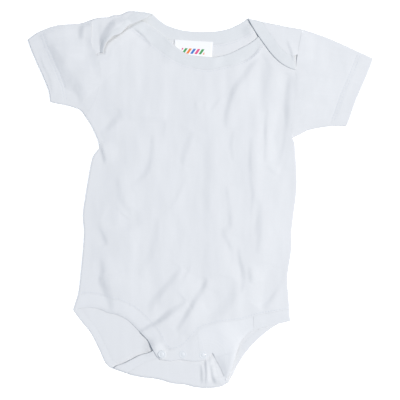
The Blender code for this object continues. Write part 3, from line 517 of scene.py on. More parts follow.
def top_turn(x):
    return np.interp(x, TOP_OUTLINE[:, 0], TOP_OUTLINE[:, 1]) - TURN_OUTSIDE


def bottom_turn(x):
    return np.interp(x, BOTTOM_OUTLINE[:, 0], BOTTOM_OUTLINE[:, 1]) + TURN_OUTSIDE


def unfolded_lap(points):
    """Where points of a lap that lies turned over are on the flat cloth, above the top fold."""
    x, y = np.array(points, float).T
    return np.column_stack([x, 2 * top_turn(x) + TURN_LENGTH - y])


def unfolded_tail(points):
    x, y = np.array(points, float).T
    return np.column_stack([x, 2 * bottom_turn(x) - TURN_LENGTH - y])


def corner_at(x, turn, side):
    """The point of flat cloth that lies on the very edge of a turn."""
    return [(x, turn(x) + side * TURN_LENGTH / 2)]


NECK_EDGE_FLAT = curve_through(
    np.vstack([
        unfolded_lap(LAP_LEFT_EDGE), corner_at(51.7, top_turn, 1), NECK_BACK_EDGE,
        corner_at(-52.8, top_turn, 1), unfolded_lap(LAP_RIGHT_EDGE),
    ])
)
LEG_RIGHT_EDGE_FLAT = curve_through(
    np.vstack([LEG_RIGHT_BACK_EDGE, corner_at(-97.2, bottom_turn, -1), unfolded_tail(TAIL_RIGHT_EDGE)])
)
LEG_LEFT_EDGE_FLAT = curve_through(
    np.vstack([unfolded_tail(TAIL_LEFT_EDGE), corner_at(31.4, bottom_turn, -1), LEG_LEFT_BACK_EDGE])
)
LAP_LEFT_AREA = loop(curve_through(LAP_LEFT_EDGE), curve_through(SHOULDER_LEFT), ARMHOLE_LEFT[1:2])
LAP_RIGHT_AREA = loop(
    curve_through(LAP_RIGHT_EDGE), LAP_RIGHT_END, ARMHOLE_RIGHT[2:0:-1], curve_through(SHOULDER_RIGHT)
)
TAIL_AREA = loop(
    curve_through(BOTTOM_FOLD), curve_through(TAIL_LEFT_EDGE)[::-1], TAIL_TOP[::-1],
    curve_through(TAIL_RIGHT_EDGE)[::-1],
)
RESTING_EDGES = [
    curve_through(line, 2 * FINE_STEP)
    for line in (
        SLEEVE_RIGHT_TOP, SLEEVE_RIGHT_HEM, SLEEVE_RIGHT_UNDER, SIDE_RIGHT, LEG_RIGHT_FRONT_EDGE,
        SLEEVE_LEFT_TOP, SLEEVE_LEFT_HEM, SLEEVE_LEFT_UNDER, SIDE_LEFT, LEG_LEFT_FRONT_EDGE,
        PLACKET_EDGE, PLACKET_CORNER, NECK_FRONT_EDGE, SHOULDER_LEFT, SHOULDER_RIGHT,
    )
]
SHARES_OF_NECK = np.linspace(0, 1, len(NECK_EDGE_FLAT))
NECKBAND_WIDTHS = np.interp(
    SHARES_OF_NECK, [0, LAP_TIP_STARTS, 1], [NECKBAND_WIDTH, NECKBAND_WIDTH, LAP_TIP_BAND_WIDTH]
)
NECK_BACK_SEAM = beside(NECK_EDGE_FLAT, NECKBAND_WIDTHS)
LEG_RIGHT_BACK_SEAM = beside(LEG_RIGHT_EDGE_FLAT, LEG_BINDING_WIDTH)
LEG_LEFT_BACK_SEAM = beside(LEG_LEFT_EDGE_FLAT, LEG_BINDING_WIDTH)
BACK_SEAMS = [NECK_BACK_SEAM, LEG_RIGHT_BACK_SEAM, LEG_LEFT_BACK_SEAM]
FRONT_SEAMS = [curve_through(line) for line in (NECK_FRONT_SEAM, LEG_RIGHT_FRONT_SEAM, PLACKET_SEAM)]
THIN_EDGES = [
    (curve_through(PLACKET_CORNER[1:]), *CORNER_THINNING),
    (curve_through(LEG_LEFT_FRONT_EDGE), *LEG_THINNING),
    (curve_through(LEG_RIGHT_FRONT_EDGE[:9]), *LEG_THINNING),
]
ARMHOLES = [curve_through(line) for line in (ARMHOLE_RIGHT, ARMHOLE_LEFT)]
SIDES = [curve_through(line) for line in (SIDE_RIGHT, SIDE_LEFT)]


def label_outline():
    half = np.array(LABEL_SIZE) / 2
    corners = half * np.array([(-1, -1), (1, -1), (1, 1), (-1, 1)])
    turn = np.array([
        (math.cos(LABEL_TURN), math.sin(LABEL_TURN)),
        (-math.sin(LABEL_TURN), math.cos(LABEL_TURN)),
    ])
    return corners @ turn + LABEL_CENTRE


def pinched(places, up, seams):
    """The height in the wall, drawn towards the wall's middle beside a sewn seam."""
    apart = distance_to(places, *seams)
    return up + (CLOTH / 2 - up) * PINCH_SHARE * np.exp(-((apart / PINCH_HALF_WIDTH) ** 2))


def upper_rise(places, freedom=1.0):
    """How far the upper layer stands above where it would lie pressed flat, and how freely it folds."""
    apart = distance_to(places, *RESTING_EDGES)
    folds = fold_heights(places, FOLDS) + crumple(places) * ease(apart / CRUMPLE_EDGE_REACH)
    height = PUFF * ease(apart / PUFF_REACH) + folds * freedom
    return (height + np.sqrt(height**2 + PUFF_SOFTNESS**2)) / 2


def mound_rise(places, middle, radius, height):
    return height * (1 - ease(np.linalg.norm(places - middle, axis=1) / radius))


def above_lap_tip(places):
    """How far each place is towards the neck from the tip of the lap on its side."""
    return places[:, 1] - np.where(places[:, 0] > 0, LAP_LEFT_EDGE[0][1], LAP_RIGHT_EDGE[-1][1])


def lap_cover(places, margin, run_out):
    """1 on both laps and their margin, easing to 0 over the run-out beyond."""
    return np.maximum(*[cover(places, area, margin, run_out) for area in (LAP_LEFT_AREA, LAP_RIGHT_AREA)])


def turned_rise(places):
    """How far the laps and the tail stand above the level that their turn gives them."""
    lift = np.where(places[:, 0] > 0, LAP_LEFT_LIFT, LAP_RIGHT_LIFT)
    lift *= ease(above_lap_tip(places) / LAP_TIP_REACH)
    lift *= ease(distance_to(places, *ARMHOLES) / LAP_SIDE_REACH)
    lap = np.maximum(lift + fold_heights(places, LAP_FOLDS), 0) + upper_rise(places, 0.0)
    tail = np.maximum(mound_rise(places, *BUNCH) + fold_heights(places, TAIL_GATHERS), DEEPEST_GATHER)
    return np.where(places[:, 1] > 0, lap, tail)


def front_under(places):
    """The height of the front's underside, over the label and the tail and under the laps."""
    under_laps = lap_cover(places, LAP_MARGIN, LAP_RUN_OUT)
    to_left = ease(0.5 + places[:, 0] / TAIL_SIDES_SPAN)
    run_out = TAIL_RUN_OUT_RIGHT + (TAIL_RUN_OUT_LEFT - TAIL_RUN_OUT_RIGHT) * to_left
    on_tail = cover(places, TAIL_AREA, TAIL_MARGIN * to_left, run_out)
    on_label = cover(places, label_outline(), LABEL_MARGIN, LABEL_RUN_OUT)
    over_tail = PLACKET_LEVEL - FRONT_LEVEL + mound_rise(places, *BUNCH)
    room = over_tail * on_tail + mound_rise(places, *MOUND) + LABEL_ROOM * on_label
    clear_of_lap = 1 - cover(places, LAP_RIGHT_AREA, 0, LAP_RIDGE_RISE)
    room += LAP_RIDGE * clear_of_lap * cover(places, LAP_RIGHT_AREA, 0, LAP_RIDGE_FADE)
    rise = upper_rise(places, 1 - under_laps)
    return FRONT_LEVEL + room + rise * (1 - (1 - TAIL_PUFF_SHARE) * on_tail)


def place_front(places, up):
    thinned = [
        share * np.exp(-((distance_to(places, edge) / reach) ** 2)) for edge, reach, share in THIN_EDGES
    ]
    in_wall = pinched(places, up, FRONT_SEAMS) * (1 - np.max(thinned, axis=0))
    return np.column_stack([places, front_under(places) + in_wall])


def place_on_back(places, up):
    """Flat cloth bent round the folds of the back. Up is the height in the wall from its outside."""
    x = places[:, 0]
    past_top, past_bottom = places[:, 1] - top_turn(x), bottom_turn(x) - places[:, 1]
    past, side = np.maximum(past_top, past_bottom), np.where(past_top > past_bottom, 1, -1)
    turn = np.where(side > 0, top_turn(x), bottom_turn(x))
    centre = CLOTH + TURN_INSIDE
    angle = np.clip(past / TURN_LENGTH, 0, 1) * math.pi
    beyond = np.maximum(past - TURN_LENGTH, 0)
    radius = centre - pinched(places, up, BACK_SEAMS)
    y = np.where(past <= 0, places[:, 1], turn + side * (radius * np.sin(angle) - beyond))
    z = centre - radius * np.cos(angle)
    turned = beyond > 0
    if turned.any():
        shown = np.column_stack([x, y])[turned]
        z[turned] += turned_rise(shown) * ease(beyond[turned] / LIFT_REACH)
    z += mound_rise(np.column_stack([x, y]), *MOUND)
    z += mound_rise(places, *NECK_CORNER) * ease(-past / LIFT_REACH)
    return np.column_stack([x, y, z])


def place_label(places, up):
    return np.column_stack([places, np.full(len(places), FRONT_LEVEL) + up])


def lattice(outline):
    """Points of a triangular lattice over the outline's box."""
    (x0, y0), (x1, y1) = outline.min(axis=0), outline.max(axis=0)
    rows = np.arange(y0, y1 + FINE_STEP, FINE_STEP * LATTICE_ROW_SHARE)
    columns = np.arange(x0, x1 + FINE_STEP, FINE_STEP)
    x, y = np.meshgrid(columns, rows)
    x[1::2] += FINE_STEP / 2
    return np.column_stack([x.ravel(), y.ravel()])


# Where the garment's own tables lie in the row frame: the label's middle is known in both
LABEL_LOW, LABEL_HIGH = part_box("neck_label")
TO_ROW = Vector((LABEL_LOW + LABEL_HIGH)[:2]) / 2 - Vector(LABEL_CENTRE) * METRES


def in_row(points):
    """Points of the tables, in the row frame."""
    return np.array(points) * METRES + (TO_ROW.x, TO_ROW.y, 0)


def add_piece(name, points, faces, material, weave=None):
    """A smooth mesh that rides on the garment's one body. Weave is each point's place in its own cloth."""
    mesh = bpy.data.meshes.new(name)
    mesh.from_pydata(in_row(points).tolist(), [], faces)
    mesh.validate()
    mesh.shade_smooth()
    mesh.materials.append(material)
    if weave is not None:
        cloth = mesh.attributes.new("weave", "FLOAT_VECTOR", "POINT")
        spots = np.column_stack([np.array(weave) * METRES, np.zeros(len(weave))])
        cloth.data.foreach_set("vector", spots.astype(np.float32).ravel())
    piece = bpy.data.objects.new(name, mesh)
    bpy.context.collection.objects.link(piece)
    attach(piece, "root")
    return piece


def sharpen(piece, chosen, first):
    """Keep a wall's shading level up to a ring of points, where they are chosen."""
    around = len(chosen)
    for edge in piece.data.edges:
        low, high = sorted(index - first for index in edge.vertices)
        if 0 <= low and high < around and high - low in (1, around - 1) and chosen[low] and chosen[high]:
            edge.use_edge_sharp = True


def quads_between(here, there, around, stride=1):
    """The faces between two rings of points, whose first points have these numbers."""
    pairs = [(i * stride, (i + 1) % around * stride) for i in range(around)]
    return [(here + i, here + j, there + j, there + i) for i, j in pairs]


def add_shell(name, outline, place, material, sewn=(), thickness=CLOTH, edge=None):
    """A thin cloth wall over an outline. place(points, up) bends it into shape.

    Its free edges are round. On the sewn lines its neighbour lies close to it.
    """
    if area_of(outline) < 0:
        outline = outline[::-1]
    outline = spaced(outline, FINE_STEP, closed=True)
    ends = np.roll(outline, -1, axis=0) - np.roll(outline, 1, axis=0)
    ends /= np.linalg.norm(ends, axis=1)[:, None]
    rounding = np.full((len(outline), 1), EDGE_ROUNDING)
    for seam in sewn:
        rounding[distance_to(outline, seam) < SAME_LINE] = SEAM_ROUNDING
    inward = np.column_stack([-ends[:, 1], ends[:, 0]]) * rounding
    core = outline + inward
    grid = lattice(core)
    grid = grid[is_inside(grid, core)]
    grid = grid[distance_to(grid, np.vstack([core, core[:1]])) > CLEAR_OF_RIM_SHARE * FINE_STEP]
    flat = np.vstack([core, grid])
    around = len(core)
    points, _, triangles, *_ = delaunay_2d_cdt([Vector(p) for p in flat], [], [list(range(around))], 1, 1e-6)
    if len(points) != len(flat):
        raise ValueError(f"{name}: its outline crosses itself")
    walls, weave = [place(flat, thickness)], [flat]
    for k in range(1, RIM_STEPS):
        angle = math.pi * (0.5 - k / RIM_STEPS)
        ring = outline + inward * (1 - math.cos(angle))
        walls.append(place(ring, thickness / 2 * (1 + math.sin(angle))))
        weave.append(ring)
    walls.append(place(flat, 0.0))
    weave.append(flat)
    faces = [tuple(t) for t in triangles]
    starts = [0] + [len(flat) + around * k for k in range(RIM_STEPS)]
    faces += [tuple(i + starts[-1] for i in t[::-1]) for t in triangles]
    for upper, lower in zip(starts[:-1], starts[1:]):
        faces += quads_between(lower, upper, around)
    weave = np.vstack(weave)
    if edge is not None:
        offset, share = offset_and_share(weave, edge)
        weave = np.column_stack([share * length_along(edge)[-1], offset])
    piece = add_piece(name, np.vstack(walls), faces, material, weave)
    is_sewn = rounding[:, 0] < EDGE_ROUNDING
    sharpen(piece, is_sewn, 0)
    sharpen(piece, is_sewn, starts[-1])
    return piece


def coons_points(u, shares, armhole, hem, top, under):
    """Points across a four-sided patch: u from armhole to hem, shares from the top edge to the under one."""

    def at(line, share):
        return at_lengths(line, np.array(share) * length_along(line)[-1])

    v = shares[:, None]
    corners = (1 - u) * ((1 - v) * armhole[0] + v * armhole[-1]) + u * ((1 - v) * hem[0] + v * hem[-1])
    sides = (1 - u) * at(armhole, shares) + u * at(hem, shares)
    return sides + (1 - v) * at(top, [u]) + v * at(under, [u]) - corners


def sleeve_rise(places, sides):
    """How far a sleeve's upper layer stands above where it would lie pressed flat."""
    _, hem, top, under = sides
    lift = np.where(places[:, 0] > 0, SLEEVE_LIFT_LEFT, SLEEVE_LIFT_RIGHT)
    lift *= lap_cover(places, 0, SLEEVE_LIFT_REACH) * ease(above_lap_tip(places) / LAP_SIDE_FADE)
    past_hem = distance_to(places, hem) - HEM_DEPTH
    lift += HEM_RISE * (1 - ease(past_hem / HEM_ROWS_APART))
    for row in (0, 1):
        lift -= STITCH_SINK * np.exp(-(((past_hem - row * HEM_ROWS_APART) / STITCH_HALF_WIDTH) ** 2))
    clear_of_edge = ease(distance_to(places, top, under) / SLEEVE_EDGE_REACH)
    return np.maximum(upper_rise(places) + lift, 0) * clear_of_edge


def sleeve_ring(u, sides, inward):
    """One ring of a flattened tube: round its top edge, down its upper layer, and back below."""
    ends = coons_points(u, np.array([0.0, 1.0]), *sides)
    width = float(np.linalg.norm(ends[1] - ends[0]))
    level = (FRONT_LEVEL + CLOTH) / 2
    radius = level - inward
    turn = np.pi * (np.arange(SLEEVE_TURN_STEPS + 1) / SLEEVE_TURN_STEPS - 0.5)
    span = level + (width - 2 * level) * np.arange(1, SLEEVE_ACROSS) / SLEEVE_ACROSS
    across = np.concatenate([
        level - radius * np.cos(turn), span, width - level + radius * np.cos(turn[::-1]), span[::-1],
    ])
    lifts = np.concatenate([np.sin(turn), np.ones(len(span)), np.sin(turn[::-1]), -np.ones(len(span))])
    places = coons_points(u, across / width, *sides)
    rise = np.where(lifts > 0, sleeve_rise(places, sides), 0)
    return np.column_stack([places, level + radius * lifts + rise])


def add_sleeve(name, material, armhole, hem, top, under):
    """A flattened open tube of two walls from the armhole seam to the hem, and its hem's stitches."""
    sides = [curve_through(line) for line in (armhole, hem, top, under)]
    outward = 1 if sides[1][0, 0] > 0 else -1
    shares = np.arange(SLEEVE_STATIONS + 1) / SLEEVE_STATIONS
    outer = [sleeve_ring(u, sides, 0) for u in shares]
    inner = [sleeve_ring(u, sides, CLOTH) for u in shares]

    def rounded_end(last, before, inside):
        out = last - before
        out /= np.linalg.norm(out, axis=1)[:, None]
        return (last + inside) / 2 + out * CLOTH / 2

    hem_ring = rounded_end(outer[-1], outer[-2], inner[-1])
    start_ring = (outer[0] + inner[0]) / 2
    rings = outer + [hem_ring] + inner[::-1] + [start_ring]
    count = len(rings[0])
    faces = []
    for k in range(len(rings)):
        faces += quads_between(k * count, (k + 1) % len(rings) * count, count)
    if outward < 0:
        faces = [face[::-1] for face in faces]
    around = np.linspace(0, 2 * length_along(sides[0])[-1], count)
    depths = np.concatenate([shares, [1], shares[::-1], [0]]) * length_along(sides[2])[-1]
    weave = np.vstack([np.column_stack([around, np.full(count, depth)]) for depth in depths])
    piece = add_piece(name, np.vstack(rings), faces, material, weave)
    sharpen(piece, np.full(count, True), 0)
    patch = loop(sides[0], sides[3], sides[1][::-1], sides[2][::-1])

    def on_top(places, up):
        return np.column_stack([places, FRONT_LEVEL + sleeve_rise(places, sides) + up])

    stitches = []
    for row in (0, 1):
        line = beside(sides[1], -outward * (HEM_DEPTH + row * HEM_ROWS_APART))
        line = line[is_inside(line, patch) & (distance_to(line, sides[2]) > SLEEVE_SEAM_CLEAR)]
        line = line[distance_to(line, sides[3]) > SLEEVE_SEAM_CLEAR]
        stitches.append(add_stitches(f"{name}_stitches_{row + 1}", line, on_top))
    return piece, patch, stitches


def parted_at(line, x):
    """The two parts of a line whose x rises, which meet at x."""
    cut = np.array([(x, np.interp(x, line[:, 0], line[:, 1]))])
    return np.vstack([line[line[:, 0] < x], cut]), np.vstack([cut, line[line[:, 0] > x]])


def between(line, lowest=-math.inf, highest=math.inf):
    """The points of a line whose y is between two heights."""
    return line[(line[:, 1] > lowest) & (line[:, 1] < highest)]


def add_stitches(name, line, place):
    """A row of short thread stitches along a line of flat cloth, as small bulging bars."""
    pitch = STITCH_LENGTH + STITCH_GAP
    starts = np.arange(STITCH_GAP, length_along(line)[-1] - pitch, pitch)
    spots = np.concatenate([starts + share * STITCH_LENGTH for share, _, _ in STITCH_SECTION])
    base = place(at_lengths(line, spots), CLOTH)
    normal = place(at_lengths(line, spots), CLOTH + 1.0) - base
    normal /= np.linalg.norm(normal, axis=1)[:, None]
    forward = place(at_lengths(line, spots + FINE_STEP / 4), CLOTH) - base
    forward /= np.linalg.norm(forward, axis=1)[:, None]
    return thread_bars(name, base, normal, np.cross(forward, normal), len(starts))


def thread_bars(name, base, normal, aside, count):
    """A row of stitches, from the points of the cloth on which their sections lie."""
    points, faces = [], []
    radii = np.repeat([radius for _, radius, _ in STITCH_SECTION], count) * THREAD_RADIUS
    sunk = np.repeat([depth for _, _, depth in STITCH_SECTION], count) * THREAD_RADIUS
    middle = base + normal * (THREAD_RADIUS * THREAD_RAISE - sunk)[:, None]
    for side in range(THREAD_SIDES):
        angle = 2 * math.pi * side / THREAD_SIDES
        arm = aside * math.cos(angle) + normal * math.sin(angle)
        points.append(middle + arm * radii[:, None])
    total = len(middle)
    for stitch in range(count):
        rings = [stitch + k * count for k in range(len(STITCH_SECTION))]
        for here, there in zip(rings[:-1], rings[1:]):
            faces += quads_between(here, there, THREAD_SIDES, total)
        faces.append(tuple(rings[0] + side * total for side in range(THREAD_SIDES))[::-1])
        faces.append(tuple(rings[-1] + side * total for side in range(THREAD_SIDES)))
    return add_piece(name, np.vstack(points), faces, THREAD_PAINTED_SHADE)


# Finishes


def new_material(name, colour, roughness, sheen=0.0):
    """A material, its nodes and its shader. Numbers that don't vary sit on the shader's own sockets."""
    material = bpy.data.materials.new(name)
    material.use_nodes = True
    tree = material.node_tree
    shader = tree.nodes["Principled BSDF"]
    shader.inputs["Base Color"].default_value = (*colour, 1)
    shader.inputs["Roughness"].default_value = roughness
    shader.inputs["Sheen Weight"].default_value = sheen
    return material, tree, shader


def add_node(tree, kind, inputs=(), **settings):
    node = tree.nodes.new(kind)
    for key, value in settings.items():
        setattr(node, key, value)
    for key, value in dict(inputs).items():
        if isinstance(value, bpy.types.NodeSocket):
            tree.links.new(value, node.inputs[key])
        else:
            node.inputs[key].default_value = value
    return node


def math_node(tree, operation, *values):
    return add_node(tree, "ShaderNodeMath", dict(enumerate(values)), operation=operation).outputs[0]


def mottled(tree, shader, colour, spot, scales, strength, streak=1.0):
    """Uneven colour: slightly darker and lighter patches, drawn out along Y by streak, and fine flecks."""
    drawn = add_node(tree, "ShaderNodeMapping", {"Vector": spot, "Scale": (1.0, 1 / streak, 1.0)}).outputs[0]
    broad = add_node(tree, "ShaderNodeTexNoise", {"Vector": drawn, "Scale": scales[0], "Detail": 3.0})
    fine = add_node(tree, "ShaderNodeTexNoise", {"Vector": spot, "Scale": scales[1], "Detail": 2.0})
    total = math_node(tree, "ADD", broad.outputs[0], fine.outputs[0])
    low, high = NOISE_RANGE
    ramp = add_node(
        tree, "ShaderNodeMapRange",
        {"Value": total, "From Min": low, "From Max": high, "To Min": 1 - strength, "To Max": 1 + strength},
    )
    tone = add_node(
        tree, "ShaderNodeVectorMath", {0: tuple(colour), "Scale": ramp.outputs[0]}, operation="SCALE"
    )
    tree.links.new(tone.outputs[0], shader.inputs["Base Color"])
    return fine.outputs[0]


def knit_material(name, colour, wale, course, depth, v_slope):
    """Jersey or rib: wales a wale apart across the cloth, with stitches leaning to both sides."""
    material, tree, shader = new_material(name, colour, KNIT_ROUGHNESS, KNIT_SHEEN)
    spot = add_node(tree, "ShaderNodeAttribute", attribute_name="weave").outputs["Vector"]
    parts = add_node(tree, "ShaderNodeSeparateXYZ", {0: spot})
    across = math_node(tree, "PINGPONG", parts.outputs[0], wale / 2)
    wales = math_node(tree, "SINE", math_node(tree, "MULTIPLY", across, math.pi * 2 / wale))
    leaning = math_node(tree, "MULTIPLY_ADD", across, v_slope, parts.outputs[1])
    courses = math_node(tree, "SINE", math_node(tree, "MULTIPLY", leaning, math.pi * 2 / course))
    knit = math_node(tree, "MULTIPLY_ADD", courses, COURSE_SHARE, wales)
    fleck = mottled(tree, shader, colour, spot, KNIT_SCALES, KNIT_MOTTLE, KNIT_STREAK)
    height = math_node(tree, "ADD", knit, fleck)
    bump = add_node(tree, "ShaderNodeBump", {"Height": height, "Strength": KNIT_BUMP, "Distance": depth})
    tree.links.new(bump.outputs[0], shader.inputs["Normal"])
    return material


def plain_material(name, colour, roughness, scales, mottle, more=()):
    """A finish of slightly uneven colour. More are other values of its shader, by name."""
    material, tree, shader = new_material(name, colour, roughness)
    for key, value in dict(more).items():
        shader.inputs[key].default_value = value
    spot = add_node(tree, "ShaderNodeTexCoord").outputs["Object"]
    mottled(tree, shader, colour, spot, scales, mottle)
    return material


def label_material():
    """White satin tape with a row of small slanted dashes in four colours."""
    material, tree, shader = new_material("label_satin", LABEL_WHITE, LABEL_ROUGHNESS, LABEL_SHEEN)
    spot = add_node(tree, "ShaderNodeAttribute", attribute_name="weave").outputs["Vector"]
    parts = add_node(tree, "ShaderNodeSeparateXYZ", {0: spot})
    x, y = parts.outputs[0], parts.outputs[1]
    leaning = math_node(tree, "MULTIPLY_ADD", y, LABEL_STRIPE_LEAN, x)
    place = math_node(tree, "DIVIDE", leaning, LABEL_STRIPE_PITCH * METRES)
    share = math_node(tree, "FRACT", place)
    dash = math_node(tree, "LESS_THAN", share, LABEL_STRIPE_SHARE)
    for value, operation, limit in (
        (y, "GREATER_THAN", LABEL_STRIPE_LOW),
        (y, "LESS_THAN", LABEL_STRIPE_HIGH),
        (x, "GREATER_THAN", -LABEL_STRIPE_REACH),
        (x, "LESS_THAN", LABEL_STRIPE_REACH),
    ):
        dash = math_node(tree, "MULTIPLY", dash, math_node(tree, operation, value, limit * METRES))
    count = len(LABEL_COLOURS)
    number = math_node(tree, "WRAP", math_node(tree, "FLOOR", place), count, 0.0)
    ramp = add_node(tree, "ShaderNodeValToRGB", {0: math_node(tree, "DIVIDE", number, count)})
    ramp.color_ramp.interpolation = "CONSTANT"
    for k, colour in enumerate(LABEL_COLOURS):
        stop = ramp.color_ramp.elements[k] if k < 2 else ramp.color_ramp.elements.new(k / count)
        stop.position = k / count
        stop.color = (*colour, 1)
    mix = add_node(
        tree, "ShaderNodeMix", {0: dash, 6: (*LABEL_WHITE, 1), 7: ramp.outputs[0]}, data_type="RGBA"
    )
    tree.links.new(mix.outputs[2], shader.inputs["Base Color"])
    ribbing = add_node(
        tree, "ShaderNodeTexWave", {"Vector": spot, "Scale": LABEL_WEAVE_SCALE},
        wave_type="BANDS", bands_direction="Y",
    )
    bump = add_node(
        tree, "ShaderNodeBump",
        {"Height": ribbing.outputs[1], "Strength": LABEL_BUMP, "Distance": LABEL_BUMP_DEPTH},
    )
    tree.links.new(bump.outputs[0], shader.inputs["Normal"])
    return material


RIB = dict(wale=0.0018, course=0.0009, depth=0.0003, v_slope=0.5)
JERSEY = knit_material("jersey", (0.77, 0.777, 0.787), wale=0.0011, course=0.0009, depth=0.00022, v_slope=0.8)
# Painted shade: the neck rib is a darker, bluer copy of the leg rib. Its tint stands in for the shade inside
# the neck.
NECK_RIB_PAINTED_SHADE = knit_material("neck_rib_painted_shade", (0.742, 0.757, 0.766), **RIB)
LEG_RIB = knit_material("leg_rib", (0.774, 0.782, 0.793), **RIB)
# Painted shade: the thread is darker and bluer than the cloth. The tint stands in for the shade of the
# grooves the stitches pull in.
THREAD_PAINTED_SHADE = plain_material(
    "thread", (0.70, 0.73, 0.78), roughness=0.7, scales=(300.0, 2500.0), mottle=0.04,
    more={"Sheen Weight": 0.1},
)
PEARL = plain_material(
    "pearl", (0.725, 0.748, 0.766), roughness=0.45, scales=(260.0, 1200.0), mottle=0.02,
    more={"Coat Weight": 0.1},
)
SATIN = label_material()


def declare(piece, nodes, cut=None, with_pieces=()):
    """Hides the solids that a piece stands for. The piece itself, the cloth's cut (width, length and area in
    mm) and the pieces with it are not used.
    """
    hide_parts(*nodes)
    if cut is not None:
        list(with_pieces)


def panel_cut(outline):
    width, length = outline.max(axis=0) - outline.min(axis=0)
    return width, length, abs(area_of(outline))


def strip_cut(outline, edge):
    """The cut of a narrow strip, laid straight."""
    area, length = abs(area_of(outline)), length_along(edge)[-1]
    return max(area / length, LEAST_SHEET_WIDTH), length, area


def add_front():
    """The front body with its neckband, the right leg's binding, and the placket with the left one's."""
    neck_seam, leg_seam, placket_seam = FRONT_SEAMS
    side_right, side_left = SIDES
    armhole_right, armhole_left = ARMHOLES
    body = loop(
        between(side_right, leg_seam[0, 1] + CLOTH),
        np.vstack([leg_seam, placket_seam[1:]]),
        between(side_left, placket_seam[-1, 1] + CLOTH),
        between(armhole_left, highest=SHOULDER_LEFT_UNDER[0][1])[::-1],
        curve_through(SHOULDER_LEFT_UNDER),
        neck_seam[::-1],
        curve_through(SHOULDER_RIGHT_UNDER),
        between(armhole_right, highest=SHOULDER_RIGHT_UNDER[-1][1]),
    )
    rows = (("neck_front", neck_seam, -1), ("leg_front", leg_seam, 1), ("placket", placket_seam, 1))
    stitches = [
        add_stitches("stitches_" + part, beside(seam, side * STITCH_FROM_SEAM), place_front)
        for part, seam, side in rows
    ]
    sewn = FRONT_SEAMS + ARMHOLES
    piece = add_shell("front_jersey", body, place_front, JERSEY, sewn)
    declare(
        piece, ["front_panel"], panel_cut(body), with_pieces=stitches,
    )

    edge_parts = parted_at(curve_through(LEG_LEFT_FRONT_EDGE), PLACKET_SPLIT)
    seam_parts = parted_at(placket_seam, PLACKET_SPLIT)
    neck_edge, leg_edge = curve_through(NECK_FRONT_EDGE), curve_through(LEG_RIGHT_FRONT_EDGE)
    strips = [
        ("neckband_front", NECK_RIB_PAINTED_SHADE, loop(neck_seam, neck_edge[::-1]), neck_edge),
        ("leg_binding_right_front", LEG_RIB, loop(leg_edge, leg_seam[::-1]), leg_edge),
        ("leg_binding_left_front", LEG_RIB, loop(edge_parts[1], seam_parts[1][::-1]), edge_parts[1]),
    ]
    sewn.append(np.array([seam_parts[0][-1], edge_parts[0][-1]]))
    sewn.append(np.array([leg_seam[-1], leg_edge[-1]]))
    for node, material, outline, edge in strips:
        piece = add_shell(node + "_rib", outline, place_front, material, sewn, edge=edge)
        declare(piece, [node], strip_cut(outline, edge))
    edge = curve_through(PLACKET_EDGE)
    placket = loop(leg_seam[-1:], edge, curve_through(PLACKET_CORNER), edge_parts[0], seam_parts[0][:0:-1])
    piece = add_shell("snap_placket_rib", placket, place_front, LEG_RIB, sewn, edge=edge)
    declare(piece, ["snap_placket_front"], panel_cut(placket))


def add_back():
    """The back body, whose laps and tail turn over, its neckband and the back leg bindings."""
    armhole_right, armhole_left = ARMHOLES
    side_right, side_left = SIDES
    body = loop(
        between(side_right, LEG_RIGHT_BACK_SEAM[0, 1] + CLOTH),
        LEG_RIGHT_BACK_SEAM,
        unfolded_tail(TAIL_TOP),
        LEG_LEFT_BACK_SEAM,
        between(side_left, LEG_LEFT_BACK_SEAM[-1, 1] + CLOTH),
        armhole_left[::-1],
        unfolded_lap(between(armhole_left, *LAP_LEFT_SIDE)),
        NECK_BACK_SEAM,
        unfolded_lap(LAP_RIGHT_END),
        unfolded_lap(between(armhole_right, *LAP_RIGHT_SIDE)[::-1]),
        armhole_right,
    )
    stitch_line = beside(NECK_EDGE_FLAT, NECKBAND_WIDTHS + STITCH_FROM_SEAM)
    neck_stitches = add_stitches("stitches_neck_back", stitch_line, place_on_back)
    sewn = BACK_SEAMS + ARMHOLES + [unfolded_lap(armhole) for armhole in ARMHOLES]
    piece = add_shell("back_jersey", body, place_on_back, JERSEY, sewn)
    declare(piece, ["back_panel"], panel_cut(body), [neck_stitches])
    for node, material, edge, seam in (
        ("neckband_back", NECK_RIB_PAINTED_SHADE, NECK_EDGE_FLAT, NECK_BACK_SEAM),
        ("leg_binding_right_back", LEG_RIB, LEG_RIGHT_EDGE_FLAT, LEG_RIGHT_BACK_SEAM),
        ("leg_binding_left_back", LEG_RIB, LEG_LEFT_EDGE_FLAT, LEG_LEFT_BACK_SEAM),
    ):
        strip = loop(edge, seam[::-1])
        piece = add_shell(node + "_rib", strip, place_on_back, material, sewn, edge=edge)
        declare(piece, [node], strip_cut(strip, edge))


def add_sleeves():
    for side, sides in (
        ("right", (ARMHOLE_RIGHT, SLEEVE_RIGHT_HEM, SLEEVE_RIGHT_TOP, SLEEVE_RIGHT_UNDER)),
        ("left", (ARMHOLE_LEFT, SLEEVE_LEFT_HEM, SLEEVE_LEFT_TOP, SLEEVE_LEFT_UNDER)),
    ):
        piece, patch, stitches = add_sleeve("sleeve_" + side + "_jersey", JERSEY, *sides)
        width, length, area = panel_cut(patch)
        cut = (2 * width, length, 2 * area)
        declare(piece, ["sleeve_" + side], cut, with_pieces=stitches)


def add_label():
    outline = label_outline()
    piece = add_shell("label_tape", outline, place_label, SATIN, thickness=LABEL_THICKNESS)
    turn = Matrix.Rotation(-LABEL_TURN, 2)
    weave = piece.data.attributes["weave"].data
    for spot in weave:
        x, y = turn @ (Vector(spot.vector[:2]) - Vector(LABEL_CENTRE) * METRES)
        spot.vector = (x, y, 0)
    cut = (*LABEL_SIZE, LABEL_SIZE[0] * LABEL_SIZE[1])
    declare(piece, ["neck_label"], cut)


